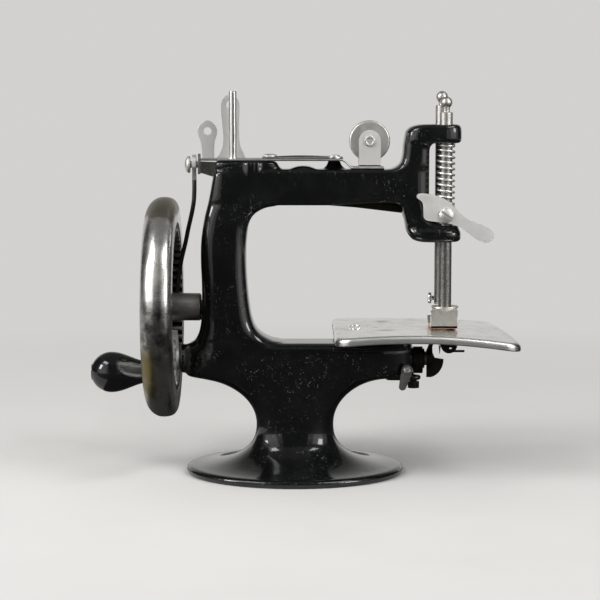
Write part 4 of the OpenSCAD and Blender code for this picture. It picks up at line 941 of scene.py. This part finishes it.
def slant(x, y):
    """How far the free end is drawn in towards the plate's far corner."""
    return 6.5 * max(0, (x - 60) / (PLATE_RIGHT - 60)) ** 2 * ((y + PLATE_HALF) / (2 * PLATE_HALF)) ** 1.3


def plate_outline(inset):
    """Upper half of the plate's plan from left to right; the lower half mirrors it."""
    corner, per_end, per_corner, per_side = 7, 8, 14, 40
    r = corner - inset
    left, right, half = PLATE_LEFT + inset, PLATE_RIGHT - inset, PLATE_HALF - inset
    quarter = [90 * k / per_corner for k in range(per_corner + 1)]
    points = [(left, (half - r) * k / per_end) for k in range(per_end)]
    points += arc(left + r, half - r, -r, r, quarter[:-1])
    points += [(left + r + (right - left - 2 * r) * k / per_side, half) for k in range(per_side)]
    points += arc(right - r, half - r, r, r, quarter[::-1])
    return points + [(right, (half - r) * k / per_end) for k in range(per_end - 1, -1, -1)]


def cloth_plate():
    """Sheet with rounded corners and a rolled edge, whose free end droops."""
    rounds, across = 1.7, 12
    # (inset, drop) from the underside round the edge to the top
    section = [(1.9, -1), (1.45, -1.15), (1.12, -1.5), (1, -2),
               (1, -3.3), (0.75, -3.42), (0.3, -3.4), (0.05, -3.2), (0, -2.9), (0, -rounds)]
    section += arc(rounds, -rounds, -rounds, rounds, [11.25 * k for k in range(1, 9)])
    rings = []
    for inset, drop in section:
        half = plate_outline(inset)
        edge = [(x - slant(x, y), y) for x, y in half + [(x, -y) for x, y in half[-2:0:-1]]]
        rings.append([(x, y, PLATE_TOP + sag(x, y) + drop) for x, y in edge])
    points, faces = loft(rings)
    del faces[:2]
    count, last = len(rings[0]), len(plate_outline(0)) - 1
    # the loft's two caps are filled by lines across the plate, which follow its bow
    for base, drop in ((0, section[0][1]), (len(points) - count, section[-1][1])):
        lines = [[base] * (across + 1)]
        for far, near in ((base + i, base + count - i) for i in range(1, last)):
            (x0, y0, _), (x1, y1, _) = points[far], points[near]
            lines.append([far, *range(len(points), len(points) + across - 1), near])
            for k in range(1, across):
                x, y = x0 + (x1 - x0) * k / across, y0 + (y1 - y0) * k / across
                points.append((x, y, PLATE_TOP + sag(x, y) + drop))
        faces += skin(lines + [[base + last] * (across + 1)], around=False)
    cuts = [pin("z", (NEEDLE_X, 6.45), 50, 70, 1.1), block(65.3, 69.1, -5.4, 2.2, 50, 70)]
    carved("cloth_plate_sheet", "cloth_plate", new_mesh("plate", (points, faces)), cuts, crease=50)


def top_plate():
    """Cover sheet on the pad, its bend down to the arm, and the two upright thread guides."""
    r, rows = 0.44, []
    for x in (-40.2 + 78.2 * k / 104 for k in range(105)):
        drop = (PAD_TOP - ARM_TOP) * eased(min(max((x - 19.8) / 5.2, 0), 1))
        middle = PAD_TOP + r - drop
        near = -3.4 - 4.2 * eased(min(max((x + 34.8) / 2, 0), 1))
        rows.append([(x, *p) for p in circle(near + r, middle, r, 8, 90, 270)
                     + circle(7 - r, middle, r, 8, -90, 90)])
    solid("cover_sheet", "top_plate", loft(rows))
    short = [(-39.9, PAD_TOP), (-34.9, PAD_TOP), (-34.7, 143), (-33.75, 146.4), (-33.7, 148.6),
             (-34.6, 150.4), (-36.1, 151.8), (-37.8, 152.6), (-39.5, 151.8), (-41, 150.4), (-41.9, 148.6),
             (-41.85, 146.4), (-40.7, 143), (-40.2, 139)]
    tall = [(-34.7, PAD_TOP), (-21, PAD_TOP), (-22.2, 138.2), (-23.6, 141.4), (-24.1, 146), (-24.1, 153),
            (-23.9, 158.4), (-24.5, 161.2), (-26, 162.9), (-27.9, 163.4), (-29.8, 162.9), (-31.3, 161.2),
            (-31.9, 158.6), (-31.6, 153), (-31, 146), (-31.2, 141.6), (-32.4, 138.4)]
    for name, outline, eye in (("short_guide", short, circle(-37.8, 147.9, 1.65, 40)),
                               ("tall_guide", tall, circle(-27.9, 159.3, 1.7, 40))):
        sheet(name, "top_plate", soft_sides(outline), [eye], "y", GUIDE_NEAR, GUIDE_FAR, 0.25,
              material=GUIDE)


def top_strip():
    """Second thickness of sheet, a little bowed between its two screws, with a round end."""
    edge = [-14 + 27 * k / 24 for k in range(25)]
    plan = [(x, -3.2) for x in edge] + circle(BOSS_X, 0, 3.8, 24, -122, 122) + [(x, 3.2) for x in edge[::-1]]
    made = cut_sheet(plan, [circle(x, 0, 1.15, 24) for x in (PAD_SCREW_X, BOSS_X)], "z", COVER_TOP,
                     STRIP_TOP, 0.22)
    bmesh.ops.triangulate(made, faces=[f for f in made.faces if len(f.verts) > 4])
    for vertex in made.verts:
        if PAD_SCREW_X < vertex.co.x < BOSS_X:
            vertex.co.z += 0.5 * max(0, sin(pi * (vertex.co.x - PAD_SCREW_X) / 27.5))
    dress("strip_sheet", "top_strip", mesh_of(made, "strip"))


def slotted_dome(name, node, axis, centre, base, out, radius, height, shank, angle):
    """Round-headed screw: its head stands out from base along the axis, with a slot at an angle.

    shank is (radius, length), and out is 1 or -1.
    """
    thick, long = shank
    profile = [(0, base - out * long), (thick, base - out * long), (thick, base), (radius - 0.15, base),
               (radius, base + out * 0.15)]
    profile += [(r, base + out * (0.5 + up)) for r, up in arc(0, 0, radius, height - 0.5, range(0, 90, 9))]
    head = turned(profile + [(0, base + out * height)], axis, centre, 64)
    half, depth, reach = min(0.16 * radius, 0.5), min(0.75, 0.6 * height), 9
    around = Matrix.Rotation(radians(angle), 2)
    corners = [around @ Vector(c) for c in ((-reach, -half), (reach, -half), (reach, half), (-reach, half))]
    slot = prism(offset(*centre, corners), axis, base + out * (height - depth), base + out * (height + 2))
    round_edges(carved(name, node, new_mesh(name, head), [slot]), 0.06)


def screws():
    """Screws that show: each is a low dome with a slot, but for the needle clamp's knob."""
    plate_base = PLATE_TOP - 0.32
    for screw in (
            ("pad_screw", "top_plate_screws", "z", (PAD_SCREW_X, 0), STRIP_TOP, 1, 3, 1.3, (1.1, 5), 70),
            ("boss_screw", "top_plate_screws", "z", (BOSS_X, 0), STRIP_TOP, 1, 2.4, 0.9, (1.1, 5), 30),
            ("bracket_screw", "tension_screw", "z", (TENSION_X, 0), BRACKET_TOP, 1, 2.2, 0.9, (1.1, 2.9), 0),
            ("plate_screw_near", "cloth_plate_screws", "z", (26, -6), plate_base, 1, 2.5, 0.5, (1.2, 7), 20),
            ("plate_screw_far", "cloth_plate_screws", "z", (26, 6), plate_base, 1, 2.5, 0.5, (1.2, 7), 20),
            ("finger_screw", "feed_spring_screw", "y", FINGER, -13.1, -1, 1.6, 1.1, (0.9, 6), 40),
            ("foot_screw", "presser_foot_screw", "x", (PRESSER_Y, 68.1), 60.55, -1, 2, 1.5, (1, 1.6), 15),
            ("stud_screw", "wheel_screw", "x", (0, WHEEL_Z), WEB_LEFT - 2.1, -1, 5.2, 2, (2.9, 0.05), 35),
            ("handle_screw_head", "handle_screw", "x", (0, HANDLE_Z), HANDLE_RIGHT - HANDLE_LENGTH + 1.9,
             -1, 3.2, 1.5, (1.7, 28), 20),
            ("lever_screw", "lever_pivot_screw", "y", (0, PIVOT_Z), 9, 1, 3.2, 1.6, (1.5, 16), 30),
            ("lifter_screw_dome", "lifter_screw", "y", (PRESSER_X, LIFTER_Z), LIFTER_FRONT - 0.02, -1,
             3.15, 1.8, (1.6, 4.4), -37)):
        slotted_dome(*screw)
    knob = [(0, 57.75), (1.5, 57.75), (2.2, 57.95), (2.4, 58.3), (2.4, 59), (2.2, 59.3), (0.9, 59.45),
            (0.9, 60.95), (0, 60.95)]
    lathe("clamp_knob", "needle_clamp_screw", knob, "x", (NEEDLE_Y, 75.6), 48)


def small_sheets():
    """Flat finger at the bed's end, and the looper's hook."""
    finger = circle(*FINGER, 2.3, 16, -20, 170) + circle(FINGER[0] - 1.9, 39.2, 1.6, 12, 190, 340)
    sheet("feed_finger", "feed_spring", soft_loop(finger, 2), [circle(*FINGER, 0.95, 24)], "y", -13.1,
          -12.3, 0.3)
    x, z = 57.1, SHAFT_Z
    hook = [(x, z - 8.2)] + [(u + 0.6, v) for u, v in arc(x, z - 0.4, 6.8, 8, range(-80, 1, 8))]
    hook += offset(x, z, [(3.6, 0.2), (2.6, 2.6), (2.5, 5), (3.2, 7.2), (4.2, 9), (2.8, 8.8), (1.4, 7),
                          (0.3, 4.4), (-0.2, 1.6), (0, -1)])
    flat = mesh_of(cut_sheet(hook, [], "y", -0.8, 0.8, 0.25), "hook")
    carved("looper_hook", "looper", flat, [pin("x", (0, z), x - 1, x + 2.2, 3)])
    sleeve = [(3.02, x, 0.1), (4, x, 0.3), (4, x + 2.2, 0.3), (3.02, x + 2.2, 0.1)]
    ring("looper_sleeve", "looper", sleeve, "x", (0, z), 48)


def spool_pin():
    """Slit tube on a riveted foot."""
    x, r, top = SPOOL_X, 1.625, 165
    tube_part = turned([(0, PAD_TOP), (2.2, PAD_TOP), (2.2, 136.5), (2.1, 136.65), (r, 136.65),
                        (r, top - 0.45), (r - 0.12, top - 0.15), (r - 0.4, top), (0, top)], "z", (x, 0), 48)
    cuts = [block(x + 0.05, x + 0.6, -5, 0, low, high) for low, high in ((138.4, 141), (142.2, top - 0.8))]
    carved("spool_tube", "spool_pin", new_mesh("spool", tube_part), cuts)


def tension():
    """Bracket with two legs, and between them the wheel of two discs on its riveted axle."""
    x, z = TENSION_X, TENSION_Z
    half, leg = 4.65, 4.4
    legs = [(x - half, BRACKET_LOW), (x + half, BRACKET_LOW)] + circle(x, z, half, 28, 0, 180)
    for name, low in (("bracket_near", -leg), ("bracket_far", leg - 1)):
        sheet(name, "tension_bracket", legs, [circle(x, z, 1.52, 32)], "y", low, low + 1, 0.22)
    base = [(x - half, -leg), (x + half, -leg), (x + half, leg), (x - half, leg)]
    sheet("bracket_base", "tension_bracket", base, [circle(x, 0, 1.12, 24)], "z", BRACKET_LOW,
          BRACKET_TOP, 0.2)
    r = 8.75
    disc = [(1.56, -3.1, 0), (4, -3.1, 0.3), (r - 0.5, -2.8, 0.3), (r, -2.35, 0.3), (r - 0.1, -1.8, 0.3),
            (r - 3.2, -0.35, 0.3)]
    disc += [(radius, -y, fillet) for radius, y, fillet in disc[::-1]]
    ring("tension_discs", "tension_wheel", disc, "y", (x, z), 128)
    half_pin = filleted([(0, -leg - 0.5, 0), (1.3, -leg - 0.5, 0.1), (1.5, -leg - 0.82, 0.15),
                         (2.3, -leg - 0.82, 0.5), (2.3, -leg, 0), (1.5, -leg, 0)], steps=5)
    lathe("tension_axle", "tension_pin", half_pin + [(radius, -y) for radius, y in half_pin[::-1]], "y",
          (x, z), 48)


# ---- camera, lamps and floor, in metres ----
PALE, BLACK = (1, 0.99, 0.972, 1), (0.03, 0.03, 0.03)
BACKDROP, FILL = 0.645, 0.5


def card(name, corners, colour, unseen=False):
    """Flat stage piece; an unseen one shows only in reflections, as a studio's flags do."""
    mesh = bpy.data.meshes.new(name)
    mesh.from_pydata(corners, [], [(0, 1, 2, 3)])
    piece = add(name, mesh)
    if unseen:
        piece.visible_camera = piece.visible_diffuse = piece.visible_shadow = False
    finish = Finish(name, colour, 0, 0.7)
    finish.shader.inputs["Specular IOR Level"].default_value = 0.2
    mesh.materials.append(finish.finish())
    return finish


def camera():
    """The photo's view: a long lens near the object, tilted down."""
    data = bpy.data.cameras.new("camera")
    data.lens, data.sensor_width = 111.6, 36
    holder = add("camera", data)
    holder.location = (0.00219, -0.8, 0.165)
    holder.rotation_euler = (radians(83.59), 0, 0)
    bpy.context.scene.camera = holder


def lamps():
    """Soft boxes and two small ones for the highlights, turned to the object's middle."""
    middle = Vector((0, 0, 0.09))
    for name, place, size, power in (
            ("left_softbox", (-0.85, -0.72, 0.5), (0.9, 1), 2.5),
            ("right_softbox", (0.84, -0.8, 0.34), (0.7, 0.8), 1.5),
            ("left_spot", (-0.7, -0.3, 0.42), (0.2, 0.3), 3.2),
            ("right_spot", (0.66, -0.5, 0.36), (0.22, 0.3), 2.3),
            ("top_left_softbox", (-0.5, -0.36, 0.84), (0.44, 0.22), 2.6),
            ("top_right_softbox", (0.46, -0.36, 0.84), (0.44, 0.22), 2.4)):
        data = bpy.data.lights.new(name, "AREA")
        data.shape, data.energy = "RECTANGLE", power
        data.size, data.size_y = size
        holder = add(name, data)
        holder.location = place
        holder.rotation_euler = (middle - Vector(place)).to_track_quat("-Z", "Y").to_euler()
        holder.visible_camera = False


def backdrop():
    """Pale world that dims upwards; the soft fill light from it is weaker than what shows."""
    world = bpy.data.worlds.new("studio")
    bpy.context.scene.world = world
    world.use_nodes = True
    sky = Nodes(world.node_tree)
    coords = sky.node("ShaderNodeTexCoord", {})
    split = sky.node("ShaderNodeSeparateXYZ", {0: coords.outputs["Generated"]})
    tone = sky.ramp(split.outputs["Z"], 0.2, 0.6, BACKDROP, 0.16)
    ground = sky.tree.nodes["Background"].inputs
    sky.link(PALE, ground["Color"])
    sky.link(sky.mix(sky.seen_directly(), FILL, tone), ground["Strength"])


def stage():
    """Floor that takes the backdrop's tone far off, so that no horizon shows, and black cards."""
    floor = card("pale_floor", [(-6, -6, 0), (6, -6, 0), (6, 6, 0), (-6, 6, 0)], (0.64, 0.634, 0.62))
    floor.tint((0.6, 0.594, 0.58), floor.ramp(floor.noise(60, 5), 0.4, 0.7, 0, 0.5))
    floor.finish()
    glow = floor.node("ShaderNodeEmission", {"Color": PALE, "Strength": BACKDROP})
    share = floor.times(floor.ramp(floor.length(floor.place), 110, 520), floor.seen_directly())
    blend = floor.node("ShaderNodeMixShader", {0: share, 1: floor.shader.outputs[0], 2: glow.outputs[0]})
    floor.link(blend.outputs[0], floor.tree.nodes["Material Output"].inputs["Surface"])
    # metal and enamel reflect the cards, as they do a studio's dark middle and sides
    for name, corners in (
            ("front_mat", [(-0.4, -1.1), (0.4, -1.1), (0.8, -0.06), (-0.8, -0.06)]),
            ("right_mat", [(-0.1, -0.06), (0.8, -0.06), (0.8, 0.6), (-0.1, 0.6)])):
        card(name, [(x, y, 0.002) for x, y in corners], BLACK, unseen=True)
    for name, start, end, top in (("front_flag", (-0.34, -1.1), (0.34, -1.1), 1.2),
                                  ("left_flag", (-1.2, -0.15), (-0.9, 1), 1),
                                  ("right_flag", (1.2, -0.15), (0.9, 1), 1)):
        card(name, [(*start, 0), (*end, 0), (*end, top), (*start, top)], BLACK, unseen=True)


for name, piece in frame["nodes"].items():
    piece.data.materials.clear()
    piece.data.materials.append(NODE_FINISH[name][0])
    round_edges(piece, 0.12)

casting()
wheel()
handle()
rod()
rod_screw()
lever()
ball_bar("needle_bar_turned", "needle_bar", NEEDLE_X, NEEDLE_Y, 73, 158.9, 162.5)
ball_bar("presser_bar_turned", "presser_bar", PRESSER_X, PRESSER_Y, 66.1, 156, 160.2)
spring()
lifter()
foot()
cloth_plate()
top_plate()
top_strip()
screws()
small_sheets()
spool_pin()
tension()
camera()
lamps()
backdrop()
stage()
bpy.context.scene.view_settings.view_transform = "Standard"
